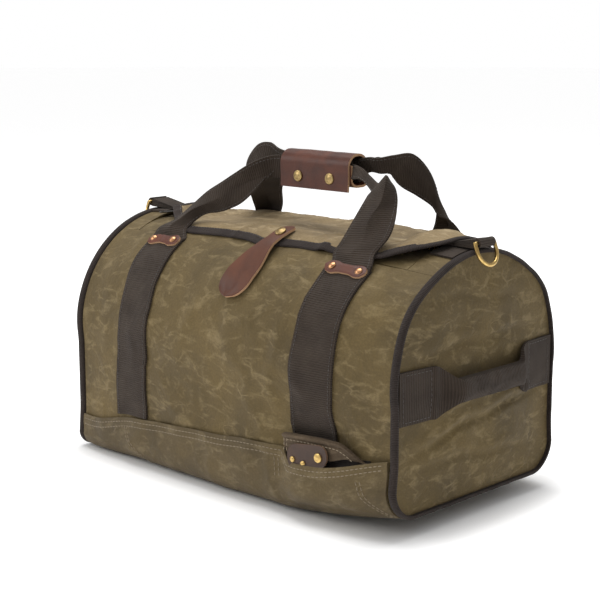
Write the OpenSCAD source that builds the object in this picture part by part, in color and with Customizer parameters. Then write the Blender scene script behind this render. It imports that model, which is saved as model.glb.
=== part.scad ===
// Weekender duffel bag: waxed canvas shell, webbing handles, leather trim and brass hardware.
// X runs along the bag, -Y is the front, +Z is up, and the origin is the middle of the base.

/* [Body] */
// Length between the two end seams
body_l = 455; // [400:5:520]
// Half of the depth at the end panels
end_r = 122; // [105:1:135]
// How much further the stuffed middle stands out than the ends
bulge = 12; // [4:1:16]
// Height at which the straight sides turn into the round top
arch_z = 134; // [115:1:150]
// Radius of the long bottom edges
corner_r = 30; // [20:1:40]
// Height of the base band in the middle of the front and back
band_h = 62; // [50:1:80]
// Canvas thickness
canvas_t = 2; // [1.5:0.1:2.5]

/* [Webbing and handles] */
// Width of the handle webbing
web_w = 50; // [38:1:60]
// Webbing thickness
web_t = 2.5; // [1.5:0.1:3]
// Distance from the middle of the bag to the middle of each handle strap
strap_x = 130; // [110:1:150]
// Height of the middle of the two grips
grip_z = 320; // [305:1:345]
// Sideways offset of the grips from the middle of the bag
grip_x = 28; // [-10:1:35]
// Length of the leather wrap
wrap_l = 94; // [80:1:110]
// Height of the wrap
wrap_h = 38; // [36:1:44]

/* [Zip and flap] */
// Half length of the part of the zip that opens
mouth_x = 192; // [180:1:192]
// Height of the zip, which lies in a shallow trough
zip_z = 255; // [250:1:256]
// Pitch of the zip teeth
tooth_pitch = 5; // [4:0.5:6]

/* [Rings] */
// Inner width of the D-rings
ring_w = 25; // [20:1:32]
// Wire diameter of the D-rings
ring_wire = 4; // [3:0.5:5]

/* [Hidden] */
$fn = 32;

canvas = "#7d6c4a";
brown = "#4a4240";
leather = "#6e4436";
brass = "#c9a651";
gunmetal = "#3b3836";
copper = "#c07a4a";

fit = 0.5;                 // gap between two layers of cloth that lie on each other
band_t = 2;                // thickness of the base band
base_z = fit + band_t;     // height of the body canvas above the floor
flat_x = 160;              // half length of the part of the base that touches the floor
end_lift = 6;              // how far the ends of the base curl up
half_l = body_l / 2;
piping_w = 9;
piping_t = 3.5;
body_end = half_l - piping_w / 2 - fit;    // end of the panels, just inside the end piping

// Girth positions: 0 is the middle of the base, 1 and 2 the ends of the front bottom edge,
// 3 the top of the straight front, 4 the top of the bag, 5 to 8 the same down the back.
panel_top = 3.635;         // top edge of the front panel
lip_low = 3.665;           // lower edge of a lip of the mouth
lip_high = 3.92;           // zip edge of a lip
tape_high = 3.98;          // inner edge of a zip tape
trough = 3.95;             // where a lip reaches the height of the zip
patch_low = 3.53;
patch_high = 3.60;
flap_rear = 4.375;         // seam that holds the flap to the back panel
flap_front = 3.655;        // front edge of the flap along its straight part
flap_corner = 3.95;        // where its swept-back ends would reach the top
flap_half = 188;           // half length of the flap
flap_straight = 120;       // half length of the straight part of its front edge
flap_sweep = 95;           // length over which the edge sweeps back
flap_off = 2.6;            // height of the flap's underside above the canvas
flap_t = 1.8;

function rad(x) = end_r + bulge * cos(180 * x / body_l);
function lift(x) = base_z + end_lift * pow(max(0, (abs(x) - flat_x) / (half_l - flat_x)), 2);

// Half section at x: a flat base, a round bottom edge, a straight side and a quarter circle.
function half_section(h, x, off) =
    let (r = rad(x), b = lift(x), c = corner_r)
    h < 1 ? [(r - c) * h, b - off] :
    h < 2 ? [r - c + (c + off) * sin(90 * (h - 1)), b + c - (c + off) * cos(90 * (h - 1))] :
    h < 3 ? [r + off, b + c + (arch_z - b - c) * (h - 2)] :
    [(r + off) * cos(90 * (h - 3)), arch_z + (r + off) * sin(90 * (h - 3))];

// Point on the bag at girth position g, distance x along it, and height off above the canvas.
function on_bag(g, x, off = 0) =
    let (h = g < 0 ? -g : g > 4 ? 8 - g : g, s = (g < 0 || g > 4) ? 1 : -1,
         p = half_section(h, x, off))
    [x, s * p[0], p[1]];

function side_g(z) = 2 + (z - base_z - corner_r) / (arch_z - base_z - corner_r);
function steps(a, b, n) = [for (i = [0:n]) a + (b - a) * i / n];
function mix(a, b, t) = a + (b - a) * t;
function ease(t) = let (u = min(1, max(0, t))) u * u * (3 - 2 * u);
function unit(v) = v / norm(v);

// A closed solid between two grids of points of the same size.
module slab(upper, lower) {
    n = len(upper);
    m = len(upper[0]);
    k = n * m;
    points = concat([for (row = upper) each row], [for (row = lower) each row]);
    inner = [for (i = [0:n - 2], j = [0:m - 2])
        let (a = i * m + j, b = a + 1, c = a + m, d = c + 1)
        each [[a, c, b], [b, c, d], [a + k, b + k, c + k], [b + k, d + k, c + k]]];
    ends = [for (j = [0:m - 2])
        let (a = j, b = j + 1, c = (n - 1) * m + j, d = c + 1)
        each [[a, b, a + k], [b, b + k, a + k], [c, c + k, d], [d, c + k, d + k]]];
    sides = [for (i = [0:n - 2])
        let (a = i * m, b = a + m, c = a + m - 1, d = c + m)
        each [[a, a + k, b], [b, a + k, b + k], [c, d, c + k], [d, d + k, c + k]]];
    polyhedron(points, concat(inner, ends, sides), convexity = 8);
}

// A sheet on the bag from girth g0 to g1 and from x0 to x1, lying off above the canvas.
module sheet(g0, g1, x0, x1, off, t, ng, nx) {
    function grid(o) = [for (g = steps(g0, g1, ng)) [for (x = steps(x0, x1, nx)) on_bag(g, x, o)]];
    slab(grid(off + t), grid(off));
}

module front_to_back(back) {
    if (back) mirror([0, 1, 0]) children(); else children();
}

module left_to_right(left) {
    if (left) mirror([1, 0, 0]) children(); else children();
}

// ---------------------------------------------------------------- body

band_slope = 12;           // how much lower the band is at the left end
pocket_x = 150;            // middle of the pocket's mouth
pocket_half = 70;          // half length of the mouth
pocket_gape = 8;           // how far the mouth stands open
pocket_sag = 17;           // how far its edge hangs down

function in_pocket(x, run) = ease((pocket_half - abs(x - pocket_x)) / run);
function band_top(x) = band_h - band_slope * ease((40 - x) / 240) + 4 * ease(x / 60);
function gape(g, x) = pocket_gape * ease((g - 1.5) / 0.5) * in_pocket(x, 45);

// The base and the band that turns up from it, with the pocket at the right of the front.
module base_panel() {
    function edge(x) = side_g(band_top(x) - pocket_sag * in_pocket(x, 35));
    function girth(x) = concat([-side_g(band_top(x))], steps(-2, -1, 6), [0],
                               steps(1, 2, 6), steps(2 + (edge(x) - 2) / 2, edge(x), 1));
    xs = steps(-body_end, body_end, 34);
    function grid(o) = [for (i = [0:17]) [for (x = xs)
        let (g = girth(x)[i]) on_bag(g, x, o + gape(g, x))]];
    color(canvas) slab(grid(fit + band_t), grid(fit));
}

module front_panel() color(canvas)
    sheet(1.05, panel_top, -body_end, body_end, -canvas_t, canvas_t, 22, 14);
module back_panel() color(canvas) front_to_back(true)
    sheet(1.05, panel_top, -body_end, body_end, -canvas_t, canvas_t, 22, 14);

module d_profile(r, low) {
    translate([0, arch_z]) circle(r, $fn = 96);
    translate([-r, low + corner_r]) square([2 * r, arch_z - low - corner_r]);
    translate([-r + corner_r, low]) square([2 * (r - corner_r), corner_r + 1]);
    for (s = [-1, 1]) translate([s * (r - corner_r), low + corner_r]) circle(corner_r, $fn = 64);
}

// Stands a drawing of the bag's section up at x, with the drawing's x axis along Y.
module at_end(x, t) translate([x, 0, 0]) rotate([90, 0, 90]) linear_extrude(t) children();

module end_panel() color(canvas) at_end(half_l - canvas_t, canvas_t)
    d_profile(end_r - fit, base_z + end_lift + fit);

module end_piping() color(brown) at_end(half_l - piping_w / 2, piping_w) difference() {
    d_profile(end_r + piping_t, base_z + end_lift - piping_t);
    d_profile(end_r, base_z + end_lift);
}

module top_gusset() color(canvas)
    sheet(panel_top + 0.01, 8 - panel_top - 0.01, mouth_x + 3, body_end,
          -canvas_t, canvas_t, 12, 3);
module zip_end_webbing() color(brown)
    sheet(3.70, 4.30, mouth_x + 4, body_end, fit, 2, 12, 2);

// ---------------------------------------------------------------- rings

ring_bar_x = half_l + 5.5;
ring_bar_z = arch_z + end_r + 9.5;
ring_drop = 22;            // from the bar to the middle of the bow
ring_tilt = 21;            // lean of the hanging ring away from the end panel
loop_t = 2.2;

module ring_loop() color(brown) translate([0, ring_w / 2 - 1, 0]) rotate([90, 0, 0])
    linear_extrude(ring_w - 2) difference() {
        union() {
            translate([ring_bar_x, ring_bar_z]) circle(ring_wire / 2 + 0.3 + loop_t);
            polygon([[mouth_x, ring_bar_z - 2.2], [ring_bar_x - 1, ring_bar_z - 4.45],
                     [ring_bar_x - 1, ring_bar_z + 4.4], [half_l - 8, ring_bar_z + 3.4],
                     [mouth_x, ring_bar_z + 2]]);
        }
        translate([ring_bar_x, ring_bar_z]) circle(ring_wire / 2 + 0.3);
    }

module d_ring() color(brass) {
    w = ring_wire / 2;
    span = (ring_w + ring_wire) / 2;
    leg = ring_drop - span;
    translate([ring_bar_x, 0, ring_bar_z]) rotate([0, -ring_tilt, 0]) {
        rotate([90, 0, 0]) cylinder(h = 2 * span + ring_wire, r = w, center = true);
        for (s = [-1, 1]) translate([0, s * span, -leg]) cylinder(h = leg, r = w);
        translate([0, 0, -leg]) rotate([-90, 0, 90])
            rotate_extrude(angle = 180) translate([span, 0]) circle(w);
    }
}

// ---------------------------------------------------------------- straps and handles

// A strap on the side of the bag, from just above the band to under its patch.
module strap(left) color(brown)
    sheet(side_g(band_top(left ? -strap_x : strap_x) + 4), patch_high,
          strap_x - web_w / 2, strap_x + web_w / 2, fit, web_t, 16, 2);

patch_w = 46;
patch_t = 2.5;
patch_off = fit + web_t + fit;
rivet_x = 16;              // half distance between the rivets of a patch
rivet_r = 4.2;
patch_mid = (patch_low + patch_high) / 2;

// Places its children on the canvas at girth g and distance x, with their Z along the normal.
module stand_on(g, x, off) translate(on_bag(g, x, off))
    rotate([90 - 90 * (g - 3), 0, 0]) children();

module patch() {
    n = 12;
    function half_w(x) = let (u = abs(x - strap_x) / (patch_w / 2))
        (patch_high - patch_low) / 2 * (0.72 + 0.28 * ease((u - 0.25) / 0.4))
        * sqrt(max(0.12, 1 - pow(u, 8)));
    function grid(o) = [for (k = [-1, -0.33, 0.33, 1])
        [for (x = steps(strap_x - patch_w / 2, strap_x + patch_w / 2, n))
            on_bag(patch_mid + k * half_w(x), x, o)]];
    color(leather) difference() {
        slab(grid(patch_off + patch_t), grid(patch_off));
        for (s = [-1, 1]) stand_on(patch_mid, strap_x + s * rivet_x, 0)
            cylinder(h = 20, r = 1.7, center = true);
    }
}

module rivets() color(copper) for (s = [-1, 1])
    stand_on(patch_mid, strap_x + s * rivet_x, patch_off + patch_t + 0.4) {
        cylinder(h = 1.2, r1 = rivet_r, r2 = rivet_r - 1);
        translate([0, 0, 1.2]) cylinder(h = 0.8, r1 = rivet_r - 1, r2 = 1.6);
        translate([0, 0, -patch_t]) cylinder(h = patch_t + 0.1, r = 1.4);
    }

module burrs() color(copper) for (s = [-1, 1])
    stand_on(patch_mid, strap_x + s * rivet_x, -canvas_t - 1.9) difference() {
        cylinder(h = 1, r = 4);
        translate([0, 0, -1]) cylinder(h = 3, r = 1.6);
    }

pivot_y = -78.5;           // axis on which a handle folds, just above its two patches
pivot_z = 243.5;
leg_gap = 10;              // from that axis to the foot of a leg
grip_y = 8.6;              // distance of each grip from the middle plane
grip_h = 24;
grip_t = 8;
grip_half = wrap_l / 2 + 22;

module grip() color(brown) translate([grip_x, -grip_y, grip_z]) rotate([0, 90, 0]) {
    cube([grip_h - grip_t, grip_t, 2 * grip_half], center = true);
    for (s = [-1, 1]) translate([s * (grip_h - grip_t) / 2, 0, 0])
        cylinder(h = 2 * grip_half, r = grip_t / 2, center = true);
}

// Webbing from a patch to the end of the grip: it starts flat, and narrows and thickens as it
// folds in half. A high leg stands up in an arch, and a low one runs straight to the grip.
module leg(right, high) {
    s = right ? 1 : -1;
    foot_dir = unit([0, -grip_y - pivot_y, grip_z - pivot_z]);
    a = [s * strap_x, pivot_y, pivot_z] + leg_gap * foot_dir;
    d = [grip_x + s * (grip_half + 0.6), -grip_y, grip_z];
    b = a + (high ? [s * 16, 12, 66] : [-s * 12, 20, 27]);
    c = d + [s * (high ? 50 : 28), 0, 0];
    function at(t) = pow(1 - t, 3) * a + 3 * pow(1 - t, 2) * t * b
        + 3 * (1 - t) * t * t * c + t * t * t * d;
    function cross_dir(t) = unit(mix([1, 0, 0], [0, 0, -s], ease((t - 0.1) / 0.7)));
    function normal_dir(t) = unit(cross(unit(at(min(1, t + 0.02)) - at(t - 0.02)), cross_dir(t)));
    function row(t, o) = let (w = mix(web_w, grip_h, ease((t - 0.15) / 0.8)) / 2,
                              h = mix(web_t, grip_t, ease((t - 0.5) / 0.5)) / 2,
                              c = cross_dir(t), n = normal_dir(t))
        [for (k = [-1, 0, 1]) at(t) + c * w * k + n * o * h * (k == 0 ? 1 : 0.8)];
    color(brown) slab([for (t = steps(0, 1, 14)) row(t, s)], [for (t = steps(0, 1, 14)) row(t, -s)]);
}

// ---------------------------------------------------------------- wrap

wrap_t = 2.4;
wrap_d = 40;
wrap_r = 9;                // outer corner radius of the wrap
snap_x = 22;
snap_z = grip_z - 6;
hinge_y = wrap_d / 2 - 4;  // fold on which the wrap opens
hinge_z = grip_z + wrap_h / 2 - wrap_t / 2;

module round_box(w, h, r) for (sx = [-1, 1], sy = [-1, 1]) {
    translate([sx * (w / 2 - r), sy * (h / 2 - r)]) circle(r, $fn = 48);
    if (sx > 0 && sy > 0) {
        square([w, h - 2 * r], center = true);
        square([w - 2 * r, h], center = true);
    }
}

module wrap_section(inset) difference() {
    round_box(wrap_d - 2 * inset, wrap_h - 2 * inset, wrap_r - inset);
    round_box(wrap_d - 2 * inset - 2 * wrap_t, wrap_h - 2 * inset - 2 * wrap_t, wrap_r - inset - wrap_t);
}

module along_grip() translate([grip_x - wrap_l / 2, 0, grip_z]) rotate([90, 0, 90])
    linear_extrude(wrap_l) children();

// The back, the bottom and the inner front edge, which carries the studs.
module wrap_body() color(leather) difference() {
    along_grip() {
        difference() {
            wrap_section(0);
            translate([-wrap_d, -wrap_h / 2 + 3]) square([wrap_d, wrap_h * 2]);
            translate([-wrap_d / 2 - 1, wrap_h / 2 - wrap_t - 1]) square([wrap_d / 2 + 1 + hinge_y, 9]);
            translate([-wrap_d, -wrap_h]) square([wrap_d - 3, wrap_h * 2]);
        }
        intersection() {
            wrap_section(wrap_t + 0.4);
            translate([-wrap_d, -wrap_h]) square([wrap_d - 3, wrap_h - 1]);
        }
        translate([-3.4, -wrap_h / 2]) square([2.4, 2 * wrap_t + 0.4]);
    }
    for (s = [-1, 1]) translate([grip_x + s * snap_x, 0, snap_z]) rotate([90, 0, 0])
        cylinder(h = wrap_d, r = 1.3);
}

module wrap_studs() color(brass) for (s = [-1, 1])
    translate([grip_x + s * snap_x, -wrap_d / 2 + wrap_t + 0.4, snap_z]) rotate([-90, 0, 0]) {
        translate([0, 0, 0.1]) cylinder(h = wrap_t, r = 1.2);
        translate([0, 0, wrap_t + 0.1]) cylinder(h = 1.2, r = 3.5);
    }

// The top and the outer front, which carries the snaps.
module wrap_flap() color(leather) difference() {
    along_grip() intersection() {
        wrap_section(0);
        union() {
            translate([-wrap_d, -wrap_h / 2 + 4]) square([wrap_d, wrap_h]);
            translate([-2, wrap_h / 2 - wrap_t - 1]) square([hinge_y + 1.2, 9]);
        }
    }
    for (s = [-1, 1]) translate([grip_x + s * snap_x, 0, snap_z]) rotate([90, 0, 0])
        cylinder(h = wrap_d, r = 1.7);
}

module snap_cap(r, h) {
    cylinder(h = 0.8, r = r);
    translate([0, 0, 0.8]) cylinder(h = h - 0.8, r1 = r, r2 = r * 0.55);
    translate([0, 0, -2]) cylinder(h = 2.1, r = 1.4);
}

module wrap_snaps() color(brass) for (s = [-1, 1])
    translate([grip_x + s * snap_x, -wrap_d / 2 - 0.1, snap_z]) rotate([90, 0, 0]) snap_cap(6, 2.4);

// ---------------------------------------------------------------- flap and its tab

function flap_edge(x) = mix(flap_front, flap_corner, ease((abs(x) - flap_straight) / flap_sweep));
binding_w = 0.075;         // width of the binding, in girth units
binding_t = 0.7;

module storm_flap() {
    function grid(o) = [for (k = steps(0, 1, 16)) [for (x = steps(-flap_half, flap_half, 20))
        on_bag(mix(flap_edge(x) + 0.006, flap_rear, k), x, o)]];
    color(canvas) slab(grid(flap_off + flap_t), grid(flap_off));
}

// The tape folded over the flap's front edge, drawn as its upper layer.
module flap_binding() {
    function grid(o) = [for (k = [0, 0.5, 1]) [for (x = steps(-flap_half, flap_half, 32))
        on_bag(flap_edge(x) + k * binding_w, x, o)]];
    color(brown) slab(grid(flap_off + flap_t + fit + binding_t), grid(flap_off + flap_t + fit));
}

tab_off = flap_off + flap_t + fit + binding_t + fit;
tab_t = 2.6;
tab_top = 3.765;
tab_low = 3.315;
tab_lean = 19;             // how far the tab's foot lies to the left of its head
tab_x = 34;
tab_bend = 0.24;           // where the tab bends, just below its snap
tab_snap_at = 0.155;
function tab_girth(k) = mix(tab_top, tab_low, k);
function tab_mid(k) = tab_x - tab_lean * k;
function tab_half(k) = mix(7.5, 19, ease((k - 0.2) / 0.55))
    * (k < 0.12 ? sqrt(max(0.05, 1 - pow(1 - k / 0.12, 2))) : 1)
    * (k > 0.84 ? sqrt(max(0.03, 1 - pow((k - 0.84) / 0.16, 2))) : 1);
// The lower part of the tab hangs closer to the front panel than the part on the flap.
function tab_height(k) = mix(tab_off, 1.5, ease((k - 0.3) / 0.35));
function tab_point(k, j, o) = on_bag(tab_girth(k), tab_mid(k) + j * tab_half(k), tab_height(k) + o);

// The leather tab between two places along it.
module tab(k0, k1, n) {
    function grid(o) = [for (k = steps(k0, k1, n)) [for (j = [-1, 0, 1]) tab_point(k, j, o)]];
    slab(grid(tab_t), grid(0));
}

module on_tab_snap() stand_on(tab_girth(tab_snap_at), tab_mid(tab_snap_at), tab_off) children();

module tab_head() color(leather) difference() {
    tab(0, tab_bend, 8);
    on_tab_snap() cylinder(h = 20, r = 1.8, center = true);
}
module tab_paddle() color(leather) tab(tab_bend + 0.005, 1, 22);
module tab_snap() color(brass) on_tab_snap() translate([0, 0, tab_t + 0.15]) snap_cap(6, 2.6);

// ---------------------------------------------------------------- mouth and zip

// The lips dip from the round top into the trough along the zip.
function dip(x) = arch_z + rad(x) - zip_z;
function on_lip(g, x, off) = on_bag(g, x, off) - [0, 0, dip(x) * ease((g - lip_low) / (trough - lip_low))];

module lip_sheet(g0, g1, off, t, ng) {
    function grid(o) = [for (g = steps(g0, g1, ng))
        [for (x = steps(-mouth_x, mouth_x, 12)) on_lip(g, x, o)]];
    slab(grid(off + t), grid(off));
}

module lip() color(canvas) lip_sheet(lip_low, lip_high, -canvas_t, canvas_t, 6);
module zip_tape() color(brown) lip_sheet(lip_high - 0.02, tape_high, -canvas_t - fit - 1, 1, 2);
module zip_teeth() color(brass) for (i = [0:floor((2 * mouth_x - 24) / tooth_pitch)])
    translate([6 - mouth_x + i * tooth_pitch, -1.6, zip_z - 2]) cube([2.2, 4.4, 3], center = true);

module zip_stops() color(brass) for (s = [-1, 1])
    translate([s * (mouth_x + 1.2), 0, zip_z - 1.7]) cube([1.6, 8, 3.4], center = true);

slider_x = 12 - mouth_x;   // middle of the slider when the mouth is shut
slider_z = zip_z + 0.3;
post_r = 1.7;              // post that the pull swivels on
pull_z = 3;                // height of the pull's plate on the slider
pull_turn = 70;            // how far the pull lies towards the front
pull_l = 32;
pull_w = 8;

module zip_slider() color(gunmetal) translate([slider_x, 0, slider_z]) {
    translate([-8, -5.5, 0]) cube([16, 11, 1.4]);
    cylinder(h = 5, r = post_r);
    translate([0, 0, pull_z + 1.6]) cylinder(h = 1, r = post_r + 1.3);
}

module zip_pull() color(gunmetal) translate([slider_x, 0, slider_z + pull_z])
    rotate([0, 0, 180 + pull_turn]) difference() {
        union() {
            cylinder(h = 1.2, r = pull_w / 2);
            translate([0, -pull_w / 2, 0]) cube([pull_l, pull_w, 1.2]);
            translate([pull_l, 0, 0]) cylinder(h = 1.2, r = pull_w / 2);
        }
        translate([0, 0, -1]) cylinder(h = 4, r = post_r + 0.4);
        translate([pull_l, 0, -1]) cylinder(h = 4, r = 2);
    }

// ---------------------------------------------------------------- end handles

anchor_z = 134;
anchor_in = 72;            // inner end of a sewn anchor
anchor_out = end_r - 5;
grip_end = 45;             // half length of the part of the handle that swings
end_grip_h = 26;
end_grip_t = 5;
stand_off = 14;            // how far the handle stands off the end panel

module handle_anchors() color(brown) for (s = [-1, 1])
    translate([half_l + fit, s > 0 ? anchor_in : -anchor_out, anchor_z - web_w / 2])
        cube([web_t, anchor_out - anchor_in, web_w]);

// The handle between two places across the end: wide and flat at its sewn ends, folded
// narrow and thick in the middle.
module handle_run(y0, y1, n) {
    function arch(y) = half_l + fit + stand_off * ease((anchor_in - abs(y)) / 28);
    function tall(y) = mix(web_w, end_grip_h, ease((anchor_in - 2 - abs(y)) / 28)) / 2;
    function thick(y) = mix(web_t, end_grip_t, ease((anchor_in - 4 - abs(y)) / 26));
    function grid(o) = [for (y = steps(y0, y1, n)) [for (k = [-1, 0, 1])
        [arch(y) + o * thick(y), y, anchor_z + k * tall(y)]]];
    slab(grid(1), grid(0));
}

module handle_tails() color(brown) for (s = [-1, 1])
    handle_run(s > 0 ? grip_end + 0.5 : 0.5 - anchor_in, s > 0 ? anchor_in - 0.5 : -grip_end - 0.5, 6);
module end_handle() color(brown) handle_run(-grip_end, grip_end, 4);

// ---------------------------------------------------------------- pocket

pocket_x0 = 98;            // left end of the pocket's flap
pocket_x1 = 200;           // right end, where it runs out
pocket_off = 3.6;
pocket_tab_x0 = 107;
pocket_tab_x1 = 148;
pocket_tab_low = 52;
pocket_tab_high = 76;
pocket_snap_at = [[142, 64], [121, 57.5], [112, 62]];
pocket_snap_r = 4;

function along_pocket(x) = (x - pocket_x0) / (pocket_x1 - pocket_x0);
function pocket_upper(x) = mix(84, 67, along_pocket(x));
function pocket_lower(x) = mix(62, 64, along_pocket(x)) - 3 * sin(180 * along_pocket(x));

module pocket_flap() {
    function grid(o) = [for (k = steps(0, 1, 2)) [for (x = steps(pocket_x0, pocket_x1, 10))
        on_bag(side_g(mix(pocket_lower(x), pocket_upper(x), k)), x, o)]];
    color(canvas) slab(grid(pocket_off + canvas_t), grid(pocket_off));
}

pocket_tab_off = pocket_off + canvas_t + 0.3;
module pocket_tab() color(leather) difference() {
    sheet(side_g(pocket_tab_low), side_g(pocket_tab_high), pocket_tab_x0, pocket_tab_x1,
          pocket_tab_off, 2, 2, 4);
    for (p = pocket_snap_at) translate([p[0], 0, p[1]]) rotate([90, 0, 0]) cylinder(h = 200, r = 1.7);
}
module pocket_snaps() color(brass) for (p = pocket_snap_at)
    translate([p[0], -rad(p[0]) - pocket_tab_off - 2.5, p[1]]) rotate([90, 0, 0])
        snap_cap(pocket_snap_r, 2);

// ---------------------------------------------------------------- every part in its place

base_panel();
front_panel();
back_panel();
left_to_right(true) end_panel();  // left_end_panel
end_panel();  // right_end_panel
left_to_right(true) end_piping();  // left_end_piping
end_piping();  // right_end_piping
left_to_right(true) top_gusset();  // left_top_gusset
top_gusset();  // right_top_gusset
left_to_right(true) zip_end_webbing();  // left_zip_end_webbing
zip_end_webbing();  // right_zip_end_webbing
left_to_right(true) ring_loop();  // left_ring_loop
ring_loop();  // right_ring_loop
left_to_right(true) d_ring();  // left_d_ring
d_ring();  // right_d_ring
left_to_right(true) strap(true);  // front_left_strap
strap(false);  // front_right_strap
left_to_right(true) front_to_back(true) strap(true);  // back_left_strap
front_to_back(true) strap(false);  // back_right_strap
left_to_right(true) patch();  // front_left_patch
patch();  // front_right_patch
left_to_right(true) front_to_back(true) patch();  // back_left_patch
front_to_back(true) patch();  // back_right_patch
for (left = [false, true], back = [false, true]) left_to_right(left) front_to_back(back) rivets();  // patch_rivets
for (left = [false, true], back = [false, true]) left_to_right(left) front_to_back(back) burrs();  // rivet_burrs
grip();  // front_handle_grip
leg(false, false);  // front_left_handle_leg
leg(true, true);  // front_right_handle_leg
front_to_back(true) grip();  // back_handle_grip
front_to_back(true) leg(false, true);  // back_left_handle_leg
front_to_back(true) leg(true, false);  // back_right_handle_leg
wrap_body();
wrap_studs();
wrap_flap();
wrap_snaps();
storm_flap();
flap_binding();
tab_head();
tab_paddle();
tab_snap();
lip();  // front_lip
front_to_back(true) lip();  // back_lip
zip_tape();  // front_zip_tape
front_to_back(true) zip_tape();  // back_zip_tape
zip_teeth();  // front_zip_teeth
translate([tooth_pitch / 2, 0, 0]) front_to_back(true) zip_teeth();  // back_zip_teeth
zip_stops();
zip_slider();
zip_pull();
left_to_right(true) handle_anchors();  // left_handle_anchors
handle_anchors();  // right_handle_anchors
left_to_right(true) handle_tails();  // left_handle_tails
handle_tails();  // right_handle_tails
left_to_right(true) end_handle();  // left_end_handle
end_handle();  // right_end_handle
pocket_flap();
pocket_tab();
pocket_snaps();
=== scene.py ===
"""A waxed canvas weekender bag: soft shell, webbing handles, leather trim and brass hardware.

Shapes are worked out in millimetres in the CAD frame (front is -Y, up is +Z) and become
metres when a mesh is made.
"""
import math

import bmesh
import bpy
import numpy as np
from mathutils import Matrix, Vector, noise


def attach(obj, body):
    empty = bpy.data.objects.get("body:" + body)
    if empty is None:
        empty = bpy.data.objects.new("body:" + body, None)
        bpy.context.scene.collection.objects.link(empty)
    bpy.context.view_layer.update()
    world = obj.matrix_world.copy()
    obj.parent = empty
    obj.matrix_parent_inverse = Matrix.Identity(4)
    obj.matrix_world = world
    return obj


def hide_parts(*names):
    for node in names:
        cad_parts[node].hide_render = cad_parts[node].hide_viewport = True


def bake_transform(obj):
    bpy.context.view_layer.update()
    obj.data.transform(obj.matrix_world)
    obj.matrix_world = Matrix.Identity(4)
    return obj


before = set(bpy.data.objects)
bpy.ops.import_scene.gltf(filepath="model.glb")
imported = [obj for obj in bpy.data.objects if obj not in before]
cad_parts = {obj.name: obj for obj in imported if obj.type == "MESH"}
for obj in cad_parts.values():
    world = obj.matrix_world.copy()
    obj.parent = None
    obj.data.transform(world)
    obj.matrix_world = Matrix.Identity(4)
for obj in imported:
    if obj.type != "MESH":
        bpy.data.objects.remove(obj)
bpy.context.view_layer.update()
MM = 0.001

# ---------------- the bag's form

BODY_L = 455.0  # between the end seams
HALF_L = BODY_L / 2
BODY_END = HALF_L - 5.0
END_R = 122.0  # half depth at the ends
BULGE = 12.0  # how much deeper each half is in the middle
ARCH_Z = 134.0  # where the sides turn into the arch
CORNER_R = 30.0
BASE_Z = 2.5
LEFT_LIFT = 2.0  # how far the base curls up at its ends
RIGHT_LIFT = 18.0
HEM_TOP = 3.661  # girth of the panels' upper edges
MOUTH_X = 192.0
ZIP_Z = 255.0
STRAP_X = 130.0
WEB_HALF = 25.0
WEB_T = 2.4
PATCH_MID = 3.565  # girth of the middles of the leather patches
POCKET_DENT = 11.0
# Millimetres of cloth from the middle of the base to girths 0 to 8, and to one girth of the arch.
GIRTH_MM = (0, 100, 147, 248, 454, 660, 761, 808, 908)
ARCH_MM = 206.0


def ease(t):
    """From 0 to 1 as t does, with soft ends, and level beyond them."""
    t = np.clip(t, 0.0, 1.0)
    return t * t * (3 - 2 * t)


def mix(a, b, t):
    """From a at t = 0 to b at t = 1."""
    return a + (b - a) * t


def rad(x):
    """Half depth of the bag at x."""
    return END_R + BULGE * np.cos(np.pi * x / BODY_L)


def lift(x):
    """Height of the canvas under the base, which curls up, most of all at the right end."""
    left = LEFT_LIFT * np.clip((-x - 160) / 67, 0, 1) ** 2
    right = RIGHT_LIFT * np.clip((x - 60) / 167, 0, 1) ** 2
    return BASE_Z + left + right


def corner(x):
    """Radius of the bag's lower edges, which are sharper at the left end."""
    return CORNER_R - 16 * ease((-x - 120) / 100)


def fullness(h, x):
    """How the stuffed bag departs from a plain arch: full shoulders over flatter sides."""
    shoulders = 4.5 * ease((x + 235) / 130) * np.exp(-((h - 3.4) / 0.18) ** 2)
    flat_sides = 2.5 * ease((h - 1.9) / 0.4) * ease((3.15 - h) / 0.3)
    return shoulders - flat_sides


def on_bag(g, x, off=0.0):
    """Point at girth g (0 base, 2 front edge, 3 arch, 4 top, 8 base again), off above the canvas."""
    g, x, off = np.broadcast_arrays(*(np.asarray(v, float) for v in (g, x, off)))
    behind = (g < 0) | (g > 4)
    h = np.where(g < 0, -g, np.where(g > 4, 8 - g, g))
    off = off + fullness(h, x)
    r, b, c = rad(x), lift(x), corner(x)
    turn = np.pi / 2 * (h - 1)
    over = np.pi / 2 * (h - 3)
    places = [h < 1, h < 2, h < 3]
    y = np.select(places, [(r - c) * h, r - c + (c + off) * np.sin(turn), r + off],
                  (r + off) * np.cos(over))
    z = np.select(places, [b - off, b + c - (c + off) * np.cos(turn),
                           b + c + (ARCH_Z - b - c) * (h - 2)], ARCH_Z + (r + off) * np.sin(over))
    return np.stack([x, np.where(behind, y, -y), z], -1)


def side_g(z, x=0.0):
    """Girth of a height on the straight part of a side, at x."""
    low = lift(x) + corner(x)
    return 2 + (z - low) / (ARCH_Z - low)


def along_girth(g):
    """Girth in millimetres of cloth from the middle of the base."""
    return np.sign(g) * np.interp(np.abs(g), range(9), GIRTH_MM)


def cloud(a, b, size, seed):
    """Soft noise about 0 over two arrays of millimetres, in lumps of the given size."""
    a, b = np.broadcast_arrays(np.asarray(a, float), np.asarray(b, float))
    values = [noise.noise(Vector((p / size, q / size, seed))) for p, q in zip(a.ravel(), b.ravel())]
    return np.array(values).reshape(a.shape)


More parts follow.
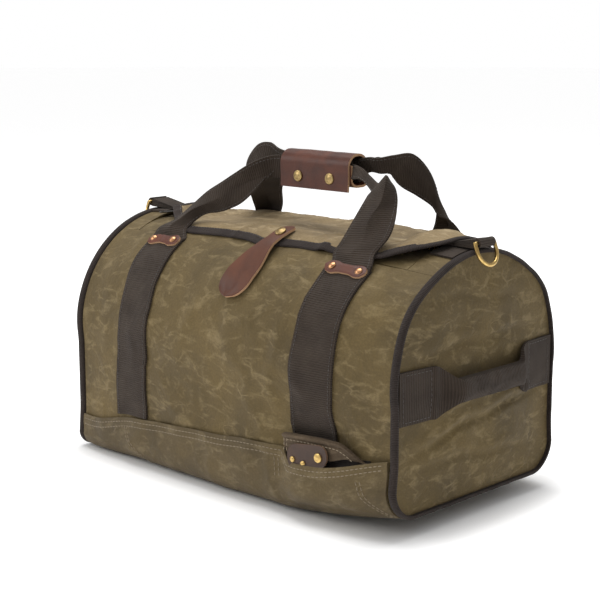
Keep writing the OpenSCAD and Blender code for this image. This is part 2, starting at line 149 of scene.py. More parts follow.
def folds(a, b, size, seed):
    """Narrow ridges from 0 to 1 between broad dents, as in cloth that has been crumpled."""
    bent = b + 0.35 * size * cloud(a, b, size * 1.3, seed + 9.7)
    ridges = (1 - np.abs(cloud(a, bent, size, seed))) ** 5
    return ridges * ease(cloud(a, b, size * 2.2, seed + 3.1) * 2 + 0.5)


def pocket_dent(g, x):
    """Depth of the hollow in the front above the pocket."""
    upright = ease((2.86 - g) / 0.42) * ease((g - 2.2) / 0.15)
    return POCKET_DENT * upright * ease((x - 76) / 50) * ease((190 - x) / 46)


def relief(g, x):
    """Unevenness of the stuffed body, which everything sewn to it follows."""
    g = np.asarray(g, float)
    s = along_girth(np.where(g < 0, g + 8, g))
    held = ease((BODY_END - np.abs(x)) / 45) * ease(np.abs(g - 4) / 0.35 - 0.4)
    held = held * ease((np.abs(g) - 1) / 0.8)
    lumps = 3.6 * cloud(s, x, 85, 1.3) + 1.6 * cloud(s, x, 36, 4.1)
    creases = 2.4 * folds(s, x, 46, 7.7) + 1.3 * folds(s, x, 27, 17.7)
    return held * (lumps + creases) - pocket_dent(g, x)


def lying(g, x, off=0.0):
    """Point on the uneven body."""
    return on_bag(g, x, off + relief(g, x))


def grid(rows, columns):
    """Two arrays that give the row and the column value at each place of a grid."""
    return np.meshgrid(rows, columns, indexing="ij")


def unit(v):
    """Vectors scaled to length 1."""
    v = np.asarray(v, float)
    return v / np.maximum(np.linalg.norm(v, axis=-1, keepdims=True), 1e-9)


def normals_of(points):
    """Normals of a grid of points."""
    return unit(np.cross(np.gradient(points, axis=0), np.gradient(points, axis=1)))


def smooth_path(points, count):
    """A Catmull-Rom curve through points, at evenly spaced places. Works on rails of any width."""
    p = np.asarray(points, float)
    p = np.concatenate([[2 * p[0] - p[1]], p, [2 * p[-1] - p[-2]]])
    spans = len(p) - 3
    t = np.linspace(0, spans - 1e-9, count)
    i = t.astype(int)
    f = (t - i).reshape((-1,) + (1,) * (p.ndim - 1))
    a, b, c, d = p[i], p[i + 1], p[i + 2], p[i + 3]
    square = 2 * a - 5 * b + 4 * c - d
    cube = 3 * b - a - 3 * c + d
    return 0.5 * (2 * b + (c - a) * f + square * f**2 + cube * f**3)


def calmed(path, width):
    """A path with each point moved to the mean of its neighbours."""
    padded = np.pad(path, ((width // 2, width // 2), (0, 0)), mode="edge")
    return sum(padded[k:k + len(path)] for k in range(width)) / width


def distances(path):
    """Length of a path up to each of its points."""
    return np.concatenate([[0], np.cumsum(np.linalg.norm(np.diff(path, axis=0), axis=1))])


def even(path, step):
    """A path resampled at about equal steps."""
    path = np.asarray(path, float)
    lengths = distances(path)
    places = np.linspace(0, lengths[-1], max(2, round(lengths[-1] / step) + 1))
    return np.stack([np.interp(places, lengths, path[:, k]) for k in range(path.shape[1])], -1)


# ---------------- meshes


def tube_faces(count, around, ring=False):
    """Faces along a tube of rings of points, which closes on itself or has a cap at each end."""
    at = np.arange(count * around).reshape(count, around)
    last = count if ring else count - 1
    right = np.roll(at, -1, axis=1)
    after = np.roll(at, -1, axis=0)
    after_right = np.roll(after, -1, axis=1)
    corners = [at[:last], right[:last], after_right[:last], after[:last]]
    faces = np.stack(corners, -1).reshape(-1, 4).tolist()
    return faces if ring else faces + [at[0, ::-1].tolist(), at[-1].tolist()]


class Shape:
    """Points and faces gathered into one piece."""

    def __init__(self):
        self.points = []
        self.faces = []
        self.uv = []
        self.finish = []

    def add(self, points, faces, uv):
        """Adds points with one texture place each, and faces of the first material."""
        start = len(self.points)
        self.points.extend(np.asarray(points).reshape(-1, 3).tolist())
        self.uv.extend(np.asarray(uv).reshape(-1, 2).tolist())
        self.faces.extend([tuple(start + k for k in face) for face in faces])
        self.finish.extend([0] * len(faces))

    def slab(self, upper, lower, uv, edge=0):
        """A closed sheet between two grids, whose cut edge may have its own material."""
        n, m = upper.shape[:2]
        k = n * m
        at = np.arange(k).reshape(n, m)
        quad = np.stack([at[:-1, :-1], at[1:, :-1], at[1:, 1:], at[:-1, 1:]], -1).reshape(-1, 4)
        both = np.concatenate([quad, quad[:, ::-1] + k])
        self.add(np.concatenate([upper.reshape(-1, 3), lower.reshape(-1, 3)]), both.tolist(),
                 np.concatenate([uv.reshape(-1, 2)] * 2))
        start = len(self.points) - 2 * k
        rim = np.concatenate([at[0, :-1], at[:-1, -1], at[-1, :0:-1], at[:0:-1, 0]])
        following = np.roll(rim, -1)
        walls = np.stack([rim, following, following + k, rim + k], -1) + start
        self.faces.extend(map(tuple, walls.tolist()))
        self.finish.extend([edge] * len(walls))
        return self

    def sheet(self, g, x, off, thickness, place=lying, edge=0):
        """A sheet on the bag over grids of girth and x."""
        uv = np.stack([x, along_girth(g)], -1) * MM
        return self.slab(place(g, x, off + thickness), place(g, x, off), uv, edge)

    def sweep(self, path, across, out, profile, ring=False):
        """A closed profile of (across, out) places carried along a path."""
        path, across, out, profile = (np.asarray(v, float) for v in (path, across, out, profile))
        points = path[:, None] + across[:, None] * profile[:, :1] + out[:, None] * profile[:, 1:]
        uv = np.stack(np.broadcast_arrays(distances(profile), distances(path)[:, None]), -1) * MM
        self.add(points, tube_faces(len(path), len(profile), ring), uv)
        return self

    def lathe(self, profile, at, axis, sides=28):
        """A turned shape: (radius, height) places about an axis."""
        axis = unit(axis)
        side = unit(np.cross(axis, [0.31, 0.2, 0.93]))
        turn = np.linspace(0, 2 * np.pi, sides, endpoint=False)[:, None]
        rim = np.cos(turn) * side + np.sin(turn) * np.cross(axis, side)
        profile = np.asarray(profile, float)
        points = np.asarray(at, float) + rim * profile[:, None, :1] + axis * profile[:, None, 1:]
        self.add(points, tube_faces(len(profile), sides), points.reshape(-1, 3)[:, :2] * MM)
        return self

    def stitches(self, path, out, length=3.4, gap=1.5, thick=0.45):
        """A line of sewing along a path on a surface whose normals are out."""
        both = even(np.concatenate([path, out], 1), (length + gap) / 4)
        line, normal = both[:, :3], unit(both[:, 3:])
        swell = thick * np.array([0.35, 1.0, 1.0, 0.35])[:, None, None]
        turn = np.linspace(0, 2 * np.pi, 6, endpoint=False)[:, None]
        for i in range(0, len(line) - 3, 4):
            run = line[i:i + 4]
            up = normal[i:i + 4, None]
            across = unit(np.cross(unit(np.gradient(run, axis=0)), normal[i:i + 4]))[:, None]
            points = run[:, None] + swell * (across * np.cos(turn) + up * (np.sin(turn) + 0.3))
            self.add(points, tube_faces(4, 6), points.reshape(-1, 3)[:, :2] * MM)
        return self

    def piece(self, name, *materials, crease=42):
        """Makes the object, in metres."""
        mesh = bpy.data.meshes.new(name)
        mesh.from_pydata((np.array(self.points) * MM).tolist(), [], self.faces)
        layer = mesh.uv_layers.new(name="cloth")
        corners = np.empty(len(mesh.loops), int)
        mesh.loops.foreach_get("vertex_index", corners)
        layer.data.foreach_set("uv", np.array(self.uv)[corners].ravel())
        for material in materials:
            mesh.materials.append(material)
        mesh.polygons.foreach_set("material_index", self.finish)
        mesh.validate()
        mesh.shade_smooth()
        mesh.set_sharp_from_angle(angle=math.radians(crease))
        made = bpy.data.objects.new(name, mesh)
        bpy.context.scene.collection.objects.link(made)
        flip_outwards(mesh)
        return made


def flip_outwards(mesh):
    """Turns a closed mesh's faces so that its volume is positive."""
    work = bmesh.new()
    work.from_mesh(mesh)
    bmesh.ops.recalc_face_normals(work, faces=work.faces)
    work.to_mesh(mesh)
    work.free()


# ---------------- materials


class Finish:
    """A material's node tree, built up a node at a time."""

    def __init__(self, name, roughness, metallic=0.0, sheen=0.0, specular=0.5):
        self.material = bpy.data.materials.new(name)
        self.material.use_nodes = True
        self.tree = self.material.node_tree
        self.shader = self.tree.nodes["Principled BSDF"]
        self.set("Roughness", roughness)
        self.set("Metallic", metallic)
        self.set("Sheen Weight", sheen)
        self.set("Sheen Roughness", 0.6)
        self.set("Specular IOR Level", specular)

    def set(self, socket, value):
        """Links a socket, or sets it to a plain value."""
        if isinstance(value, bpy.types.NodeSocket):
            self.tree.links.new(value, self.shader.inputs[socket])
        else:
            self.shader.inputs[socket].default_value = value

    def node(self, kind, inputs, **settings):
        made = self.tree.nodes.new(kind)
        for key, value in settings.items():
            setattr(made, key, value)
        for key, value in inputs.items():
            if isinstance(value, bpy.types.NodeSocket):
                self.tree.links.new(value, made.inputs[key])
            else:
                made.inputs[key].default_value = value
        return made

    def place(self, stretch=(1, 1, 1), solid=False):
        """Texture places in metres: across the cloth, or through the solid."""
        coords = self.node("ShaderNodeTexCoord", {})
        source = coords.outputs["Object" if solid else "UV"]
        return self.node("ShaderNodeMapping", {"Vector": source, "Scale": stretch}).outputs[0]

    def lumps(self, where, size, detail=3.0, rough=0.55, distortion=0.0):
        """Noise with lumps of a size in metres."""
        made = self.node("ShaderNodeTexNoise", {"Vector": where, "Scale": 1 / size, "Detail": detail,
                                                "Roughness": rough, "Distortion": distortion})
        return made.outputs["Fac"]

    def ribs(self, where, pitch, direction, wobble=0.6):
        """Even ribs with a pitch in metres."""
        made = self.node("ShaderNodeTexWave", {"Vector": where, "Scale": math.pi / (10 * pitch),
                                               "Distortion": wobble, "Detail": 2.0, "Detail Scale": 2.0},
                         bands_direction=direction)
        return made.outputs["Fac"]

    def crumple(self, where, size, width):
        """Creases of crumpled cloth: bent lines round patches of a size in metres."""
        warp = self.node("ShaderNodeTexNoise", {"Vector": where, "Scale": 1 / size, "Detail": 3.0})
        shift = (size * 0.9, size * 0.9, 0)
        bent = self.node("ShaderNodeVectorMath", {0: warp.outputs["Color"], 1: shift, 2: where},
                         operation="MULTIPLY_ADD").outputs[0]
        edge = self.node("ShaderNodeTexVoronoi", {"Vector": bent, "Scale": 1 / size},
                         feature="DISTANCE_TO_EDGE").outputs["Distance"]
        return self.ramp(edge, (0.0, 1.0), (width, 0.0))

    def ramp(self, value, *stops):
        """Stops of (place, grey or colour)."""
        made = self.node("ShaderNodeValToRGB", {"Fac": value})
        elements = made.color_ramp.elements
        while len(elements) < len(stops):
            elements.new(0.5)
        for element, (at, colour) in zip(elements, stops):
            element.position = at
            element.color = (*colour, 1) if isinstance(colour, tuple) else (colour,) * 3 + (1,)
        return made.outputs["Color"]

    def blend(self, amount, a, b, kind="MIX"):
        made = self.node("ShaderNodeMix", {}, data_type="RGBA", blend_type=kind)
        for socket, value in ((made.inputs[0], amount), (made.inputs[6], a), (made.inputs[7], b)):
            if isinstance(value, bpy.types.NodeSocket):
                self.tree.links.new(value, socket)
            elif isinstance(value, tuple):
                socket.default_value = (*value, 1)
            else:
                socket.default_value = value
        return made.outputs[2]

    def combine(self, a, b, kind="ADD"):
        return self.node("ShaderNodeMath", {0: a, 1: b}, operation=kind).outputs[0]

    def vectors(self, a, b, kind="ADD"):
        return self.node("ShaderNodeVectorMath", {0: a, 1: b}, operation=kind).outputs[0]

    def bumps(self, *layers):
        """Layers of (height, distance in metres, strength)."""
        normal = None
        for height, distance, strength in layers:
            inputs = {"Height": height, "Distance": distance, "Strength": strength}
            if normal is not None:
                inputs["Normal"] = normal
            normal = self.node("ShaderNodeBump", inputs).outputs[0]
        self.set("Normal", normal)


def waxed_canvas(name, dark, light, scuff, seed):
    """Oiled cotton duck: cloudy, with pale lines where the wax has cracked along creases."""
    f = Finish(name, 0.72, sheen=0.04, specular=0.22)
    flat = f.vectors(f.place(), (seed, seed * 0.37, 0))
    cloudy = f.lumps(flat, 0.085, 5.0, 0.62, 0.6)
    colour = f.blend(f.ramp(cloudy, (0.34, 0.0), (0.66, 1.0)), dark, light)
    short = f.vectors(flat, (0.6, 1.15, 1), "MULTIPLY")
    blotch = f.ramp(f.lumps(short, 0.016, 5.0, 0.62, 0.7), (0.53, 0.0), (0.74, 0.8))
    colour = f.blend(blotch, colour, scuff)
    broad_patches = f.ramp(f.lumps(flat, 0.02, 3.0), (0.52, 0.0), (0.66, 0.5))
    small_patches = f.ramp(f.lumps(flat, 0.022, 3.0), (0.54, 0.0), (0.66, 0.55))
    broad = f.combine(f.crumple(short, 0.034, 0.06), broad_patches, "MULTIPLY")
    small = f.combine(f.crumple(short, 0.014, 0.1), small_patches, "MULTIPLY")
    crack = f.combine(broad, small, "MAXIMUM")
    colour = f.blend(crack, colour, scuff)
    weave = f.combine(f.ribs(flat, 0.0013, "X"), f.ribs(flat, 0.0013, "Y"))
    fleck = f.ramp(f.lumps(flat, 0.0022, 2.0, 0.6), (0.3, 0.86), (0.7, 1.1))
    f.set("Base Color", f.blend(1.0, colour, fleck, "MULTIPLY"))
    f.set("Roughness", f.ramp(cloudy, (0.3, 0.62), (0.7, 0.82)))
    f.bumps((f.lumps(flat, 0.03, 4.0, 0.55, 0.8), 0.004, 0.5), (crack, 0.0008, 0.6), (weave, 0.0003, 0.22))
    return f.material


def ribbed_tape(name, dark, light, pitch, seed):
    """Cotton webbing with ribs across it."""
    f = Finish(name, 0.88, sheen=0.05, specular=0.15)
    flat = f.vectors(f.place(), (seed, seed, 0))
    ribs = f.ribs(flat, pitch, "Y", 0.35)
    yarn = f.ribs(flat, pitch * 0.55, "X", 0.5)
    worn = f.ramp(f.lumps(flat, 0.03, 4.0, 0.6), (0.35, 0.0), (0.75, 1.0))
    # Painted shade in the grooves between the ribs and a painted highlight on their crests, besides the
    # bump.
    painted_rib_shading = f.ramp(ribs, (0.0, 0.78), (0.7, 1.06))
    f.set("Base Color", f.blend(1.0, f.blend(worn, dark, light), painted_rib_shading, "MULTIPLY"))
    f.bumps((ribs, 0.0007, 0.7), (yarn, 0.0003, 0.35))
    return f.material


def oiled_leather(name, dark, light, roughness):
    """Pull-up leather with a fine pebbled grain, darker and lighter in patches."""
    f = Finish(name, roughness, specular=0.3)
    where = f.place(solid=True)
    cloudy = f.lumps(where, 0.028, 4.0, 0.6, 0.5)
    grain = f.node("ShaderNodeTexVoronoi", {"Vector": where, "Scale": 900.0}).outputs["Distance"]
    colour = f.blend(f.ramp(cloudy, (0.32, 0.0), (0.7, 1.0)), dark, light)
    f.set("Base Color", colour)
    f.set("Roughness", f.ramp(cloudy, (0.3, roughness - 0.08), (0.7, roughness + 0.1)))
    f.bumps((f.lumps(where, 0.012, 3.0), 0.001, 0.25), (grain, 0.0003, 0.25))
    return f.material


def cut_leather(name, colour):
    """The pale fibrous edge of cut leather."""
    f = Finish(name, 0.8, specular=0.25)
    fibre = f.lumps(f.place((1, 1, 6), solid=True), 0.002, 3.0, 0.7)
    f.set("Base Color", f.blend(fibre, tuple(c * 0.7 for c in colour), tuple(c * 1.25 for c in colour)))
    f.bumps((fibre, 0.0004, 0.4))
    return f.material


def metal(name, colour, tarnish, roughness):
    """Cast or stamped metal, duller and darker in patches."""
    f = Finish(name, roughness, metallic=1.0)
    where = f.place(solid=True)
    patches = f.lumps(where, 0.006, 4.0, 0.65)
    f.set("Base Color", f.blend(f.ramp(patches, (0.4, 0.0), (0.7, 1.0)), colour, tarnish))
    f.set("Roughness", f.ramp(patches, (0.3, roughness - 0.06), (0.75, roughness + 0.16)))
    f.bumps((f.lumps(where, 0.0015, 2.0), 0.0002, 0.2))
    return f.material


def plain_thread(name, colour):
    f = Finish(name, 0.7, sheen=0.2, specular=0.3)
    twist = f.lumps(f.place(solid=True), 0.001, 2.0)
    f.set("Base Color", f.blend(twist, tuple(c * 0.75 for c in colour), colour))
    f.bumps((twist, 0.0002, 0.4))
    return f.material


CANVAS = waxed_canvas("waxed canvas",
                      (0.074, 0.050, 0.0165), (0.124, 0.086, 0.032), (0.215, 0.16, 0.076), 0.3)
BAND = waxed_canvas("waxed canvas of the band",
                    (0.066, 0.046, 0.0195), (0.112, 0.08, 0.036), (0.18, 0.137, 0.073), 2.1)
# Paler than the body canvas: partly the flap's own lighter tone, partly painted light from above on its
# upward-facing cloth.
FLAP = waxed_canvas("waxed canvas of the flap with painted top light",
                    (0.15, 0.105, 0.05), (0.25, 0.181, 0.091), (0.4, 0.31, 0.18), 5.7)
# Darker than the body canvas: partly the flap's own browner tone, partly painted shade of a flap that
# hangs facing down.
POCKET = waxed_canvas("brown pocket canvas with painted shade",
                      (0.046, 0.03, 0.0165), (0.075, 0.05, 0.028), (0.13, 0.092, 0.056), 6.6)
# Near-black cloth used only as painted shade: it stands for the shadow inside the pocket's mouth.
POCKET_MOUTH_SHADE = waxed_canvas("painted pocket-mouth shade", (0.012, 0.008, 0.006), (0.02, 0.014, 0.01), (0.03, 0.02, 0.015), 3.9)
WEBBING = ribbed_tape("cotton webbing", (0.031, 0.0215, 0.0155), (0.051, 0.037, 0.027), 0.0022, 0.1)
BINDING = ribbed_tape("binding tape", (0.022, 0.0155, 0.013), (0.038, 0.027, 0.0225), 0.0016, 1.9)
LEATHER = oiled_leather("chestnut leather", (0.046, 0.013, 0.007), (0.096, 0.028, 0.0135), 0.42)
PATCH = oiled_leather("tan leather", (0.064, 0.0165, 0.0085), (0.106, 0.031, 0.0155), 0.5)
TAB = oiled_leather("pull tab leather", (0.06, 0.0175, 0.007), (0.1, 0.031, 0.0125), 0.48)
DARK_LEATHER = oiled_leather("dark leather", (0.036, 0.02, 0.014), (0.07, 0.04, 0.027), 0.5)
CUT = cut_leather("cut edge of leather", (0.42, 0.25, 0.14))
CUT_DARK = cut_leather("cut edge of dark leather", (0.17, 0.1, 0.06))
BRASS = metal("brass", (0.66, 0.46, 0.17), (0.36, 0.23, 0.08), 0.28)
OLD_BRASS = metal("antique brass", (0.4, 0.285, 0.125), (0.2, 0.135, 0.06), 0.36)
COPPER = metal("copper", (0.62, 0.33, 0.17), (0.32, 0.16, 0.08), 0.3)
DARK_METAL = metal("blackened metal", (0.11, 0.1, 0.09), (0.05, 0.045, 0.04), 0.38)
THREAD = plain_thread("tan thread", (0.24, 0.185, 0.115))
DARK_THREAD = plain_thread("dark thread", (0.06, 0.048, 0.042))


def ride(made, body, slot, *nodes):
    """Lets a piece move with a body and stand for CAD nodes."""
    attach(made, body)
    if nodes:
        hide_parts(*nodes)
    return made


def bend(made, a, b, start, end, slot, *nodes):
    """Bakes a piece's transform into its mesh and hides the CAD nodes it stands for."""
    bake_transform(made)
    if nodes:
        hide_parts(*nodes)
    return made


# ---------------- shell

for side, sign in (("front", 1), ("back", -1)):
    g, x = grid(np.linspace(1.05, HEM_TOP, 86), np.linspace(-BODY_END, BODY_END, 132))
    g = g if sign > 0 else 8 - g
    panel = Shape().sheet(g, x, -2.0, 2.0).piece(f"{side}_canvas", CANVAS)
    ride(panel, "bag", "canvas", f"{side}_panel")

# ---------------- base band and pocket

BAND_H = 62.0
HEM_DEPTH = 0.108


def in_pocket(x, near, far):
    """1 along the pocket's mouth, easing to 0 at its left and right ends."""
    return ease((x - 92) / near) * ease((236 - x) / far)


def band_top(x):
    return BAND_H - 12 * ease((40 - x) / 240) + 4 * ease(x / 60)


def band_edge(x):
    """Height of the band's front edge, which sags along the mouth of the pocket."""
    return band_top(x) - 11.5 * in_pocket(x, 16, 92)


def gape(g, x):
    """How far the band stands off the body along the pocket."""
    return 9 * ease((g - 1.5) / 0.5) * in_pocket(x, 30, 60)


def on_band(g, x, off):
    return lying(g, x, off + gape(g, x))


band_x = np.linspace(-BODY_END, BODY_END, 150)


def band_cloth():
    """The band from its back edge, under the base, to its front edge."""
    g = np.concatenate([
        mix(-side_g(band_top(band_x)), -1.0, np.linspace(0, 1, 13)[:, None]),
        np.broadcast_to(np.linspace(-0.9, 0.9, 9)[:, None], (9, len(band_x))),
        mix(1.0, side_g(band_edge(band_x)), np.linspace(0, 1, 40)[:, None]),
    ])
    return Shape().sheet(g, np.broadcast_to(band_x, g.shape), 0.5, 2.0, on_band)


def edge_fold(front):
    """The turned-over upper edge of the band."""
    top = side_g(band_edge(band_x) if front else band_top(band_x))
    g = mix(top - HEM_DEPTH, top + 0.008, np.linspace(0, 1, 5)[:, None])
    g = g if front else 8 - g
    x = np.broadcast_to(band_x, g.shape)
    opened = gape(g, x) * front
    raised = np.array([0.0, 0.75, 0.8, 0.7, 0.1])[:, None]
    uv = np.stack([x, along_girth(g)], -1) * MM
    shape = Shape().slab(lying(g, x, 2.6 + raised + opened), lying(g, x, 2.25 + opened), uv)
    return shape.piece("front_band_hem" if front else "back_band_hem", BAND)


ride(band_cloth().piece("base_band", BAND), "bag", "canvas", "base_panel")
for front in (True, False):
    ride(edge_fold(front), "bag", "canvas")


def seam_on_bag(shape, g, x, off, place=lying, **sizes):
    """Sewing along a line of girths and distances."""
    line = place(g, x, off)
    out = unit(place(g, x, off + 1.0) - line)
    shape.stitches(line, out, **sizes)


sewing = Shape()
stitch_x = np.linspace(-BODY_END + 3, BODY_END - 3, 240)
for drop in (3.2, 8.4):
    seam_on_bag(sewing, side_g(band_edge(stitch_x) - drop), stitch_x, 3.3, on_band)
    seam_on_bag(sewing, 8 - side_g(band_top(stitch_x) - drop), stitch_x, 3.3)
for shift in (0, 5):
    run = np.linspace(0, 1, 20)
    seam_on_bag(sewing, side_g(mix(60, 36, run)), mix(84, 90, run) + shift, 2.6, on_band)
run = np.linspace(0, 1, 24)
for shift in (0, 4):
    seam_on_bag(sewing, mix(side_g(48), 1.3, run), mix(-144, -112, run) + shift, 2.6, on_band)
    seam_on_bag(sewing, mix(side_g(44), 1.3, run), mix(196, 222, run) - shift, 2.6, on_band)
ride(sewing.piece("band_stitching", THREAD), "bag", "canvas")

# ---------------- end panels and piping

# Long creases across an end panel: height in the middle, slope and depth.
END_CREASES = ((172, 0.05, 2.4), (96, 0.17, 3.0), (60, -0.06, 2.2), (214, -0.1, 1.8))


def end_swell(y, z):
    """How far the end panel stands out, with the creases that stuffing leaves in it."""
    reach = np.clip(1 - (y / 118) ** 2, 0, 1) * np.clip((z - 8) / 60, 0, 1)
    reach = reach * np.clip((ARCH_Z + 118 - z) / 50, 0, 1)
    wander = z + 7 * cloud(y, 0, 55, 25.0)
    creases = 0.0
    for high, slope, depth in END_CREASES:
        above = wander - high - slope * y
        creases = creases + depth * (0.5 * ease(1 - np.abs(above - 9) / 9) - ease(1 - np.abs(above) / 8))
    dents = folds(z * 1.9, y * 0.55, 60, 21.3) * 1.6 + cloud(y, z, 42, 13.1) * 1.6
    return ease(reach) * (4.5 + dents + creases)


def end_outline(x, count, inset=0.0):
    """Places round the bag's outline at x, from under the base up the front and down the back."""
    return on_bag(np.linspace(0, 8, count), np.full(count, x), -inset)[:-1, 1:]


def closed_round(a):
    """A grid whose last column meets its first."""
    return np.concatenate([a, a[:, :1]], 1)


END_MID = np.array([0.0, 122.0])


def end_panel(sign):
    """The stuffed sheet of an end, in rings that shrink to a small cap in the middle."""
    rim = end_outline(sign * HALF_L, 241, inset=0.4)
    rings = END_MID + (rim - END_MID) * np.linspace(1, 0.02, 44)[:, None, None]
    y, z = rings[..., 0], rings[..., 1]
    out = HALF_L + end_swell(y, z)
    outer = closed_round(np.stack([sign * out, y, z], -1))
    inner = closed_round(np.stack([sign * (out - 2), y, z], -1))
    shape = Shape().slab(outer, inner, closed_round(rings) * MM)
    cap = np.stack([np.full(len(rim), sign * out[-1].mean()), y[-1], z[-1]], -1)
    shape.add(cap, [tuple(range(len(rim)))], cap[:, 1:] * MM)
    return shape


def end_piping(sign):
    """The bound seam round an end, which wavers a little."""
    count = 420
    profile = [(4.3 * math.cos(t), 0.2 + 3.1 * math.sin(t) ** 0.8) for t in np.linspace(0, np.pi, 9)]
    profile += [(-4.0, -0.9), (4.0, -0.9)]
    outline = end_outline(sign * HALF_L, count + 1)
    tangent = unit(np.roll(outline, -1, axis=0) - np.roll(outline, 1, axis=0))
    wobble = 0.35 * cloud(outline[:, 0], outline[:, 1], 18, 31.0 + sign)
    path = np.stack([sign * HALF_L + wobble * 1.2, outline[:, 0], outline[:, 1]], -1)
    outward = np.stack([np.zeros(count), -tangent[:, 1], tangent[:, 0]], -1)
    outward *= np.sign(((path - [0, *END_MID]) * outward).sum(-1, keepdims=True))
    across = np.tile([1.0, 0, 0], (count, 1))
    return Shape().sweep(path + outward * wobble[:, None], across, outward, profile, ring=True)


for side, sign in (("left", -1), ("right", 1)):
    panel = end_panel(sign).piece(f"{side}_end_canvas", CANVAS)
    ride(panel, "bag", "canvas", f"{side}_end_panel")
    piping = end_piping(sign).piece(f"{side}_end_binding", BINDING)
    ride(piping, "bag", "binding", f"{side}_end_piping")

# ---------------- side straps and patches

LEAN = 6.0


def strap_middle(x, g):
    """Middle of a strap, which leans to the right towards the top of the front."""
    return x + LEAN * ease((g - 2.5) / 1.0) * (g < 4)


def strap_cloth(middle_x, back):
    """Webbing sewn up the side, and the line of girths that its edges follow."""
    foot = side_g(band_top(middle_x) + 3.5)
    g, x = grid(np.linspace(foot, PATCH_MID + 0.03, 60), middle_x + np.linspace(-WEB_HALF, WEB_HALF, 15))
    g = 8 - g if back else g
    x = strap_middle(x, g)
    crown = 0.5 + 0.25 * cloud(along_girth(g), x, 14, 3.3)
    return Shape().sheet(g, x, crown, WEB_T), g[:, 0]


def dog_bone(middle_x, back):
    """A leather patch with two round ends and a narrow waist."""
    u = np.linspace(-1, 1, 33)
    k = np.linspace(-1, 1, 9)[:, None]
    waist = 0.70 + 0.30 * ease((np.abs(u) - 0.22) / 0.4)
    half = 7.6 * waist * np.sqrt(np.maximum(0.02, 1 - np.abs(u) ** 7))
    g = PATCH_MID + k * half / ARCH_MM
    g = 8 - g if back else g
    x = strap_middle(middle_x, g) + u * 24
    return Shape().sheet(g, x, 3.4 - 0.5 * np.abs(k) ** 4, 2.3, edge=1)


strap_sewing = Shape()
for end in ("front", "back"):
    for side, middle_x in (("left", -STRAP_X), ("right", STRAP_X)):
        name = f"{end}_{side}"
        strap, girths = strap_cloth(middle_x, end == "back")
        ride(strap.piece(f"{name}_strap_webbing", WEBBING), "bag", "webbing", f"{name}_strap")
        for inset in (3.0, -3.0):
            edge = strap_middle(middle_x, girths) + math.copysign(WEB_HALF, inset) - inset
            seam_on_bag(strap_sewing, girths, edge, 3.1, length=2.6, gap=1.4, thick=0.34)
        patch = dog_bone(middle_x, end == "back").piece(f"{name}_leather_patch", PATCH, CUT)
        ride(patch, "bag", "leather", f"{name}_patch")

# Profiles of (radius, height) from the foot of each part to its top.
RIVET = [(0, 5.5), (3.9, 5.5), (4.1, 5.8), (3.8, 6.3), (2.8, 7.1), (1.3, 7.6), (0, 7.7)]
BURR = [(0, -3.9), (3.9, -3.8), (4.1, -3.4), (3.7, -2.8), (1.6, -2.6), (0, -2.6)]
SNAP = [(0, 0), (5.8, 0.0), (5.9, 0.7), (5.5, 1.3), (4.7, 1.6),
        (4.3, 1.5), (3.2, 2.0), (1.2, 2.45), (0, 2.5)]
STUD = [(0, 0), (3.4, 0), (3.6, 0.6), (2.0, 2.2), (0, 2.2)]
rivets = Shape()
burrs = Shape()
for g in (PATCH_MID, 8 - PATCH_MID):
    for x in (-146.0, -114.0, 114.0, 146.0):
        seat = lying(g, strap_middle(x, g), 0.0)
        out = unit(lying(g, strap_middle(x, g), 1.0) - seat)
        rivets.lathe(RIVET, seat, out)
        burrs.lathe(BURR, seat, out)
ride(rivets.piece("patch_rivet_heads", COPPER, crease=60), "bag", "copper", "patch_rivets")
ride(burrs.piece("patch_rivet_burrs", COPPER, crease=60), "bag", "copper", "rivet_burrs")

# ---------------- handles


def ribbon(rails, count):
    """Webbing through stations of three rails, with its grid of middles and normals."""
    rows = smooth_path(rails, count)
    s = np.linspace(-1, 1, 17)
    soft = np.sqrt(s * s + 0.02) - math.sqrt(0.02)
    soft = soft / soft[0]
    near, centre, far = rows[:, :1], rows[:, 1:2], rows[:, 2:]
    middle = centre + (near - centre) * np.where(s < 0, soft, 0)[:, None]
    middle = middle + (far - centre) * np.where(s > 0, soft, 0)[:, None]
    normal = normals_of(middle)
    uv = np.stack(np.broadcast_arrays(s * WEB_HALF, distances(middle[:, 8])[:, None]), -1) * MM
    shape = Shape().slab(middle + normal * WEB_T / 2, middle - normal * WEB_T / 2, uv)
    return shape, middle, normal


def edge_sewing(middle, normal):
    """Sewing on both faces of a ribbon, near its two edges."""
    shape = Shape()
    for column in (1, 15):
        for out in (normal[:, column], -normal[:, column]):
            shape.stitches(middle[:, column] + out * WEB_T / 2, out, length=2.6, gap=1.4, thick=0.32)
    return shape


def foot_rails(x, back):
    """The first stations of a leg, which leave the bag from under a patch."""
    edges = [x - WEB_HALF, x, x + WEB_HALF]
    rows = []
    for g, off in ((3.545, 1.7), (3.575, 1.8)):
        girth = 8 - g if back else g
        rows.append([lying(girth, strap_middle(e, girth), off) for e in edges])
    rows.append([(strap_middle(e, 4.4 if back else 3.6), 77.0 if back else -77.0, 243.5) for e in edges])
    return rows
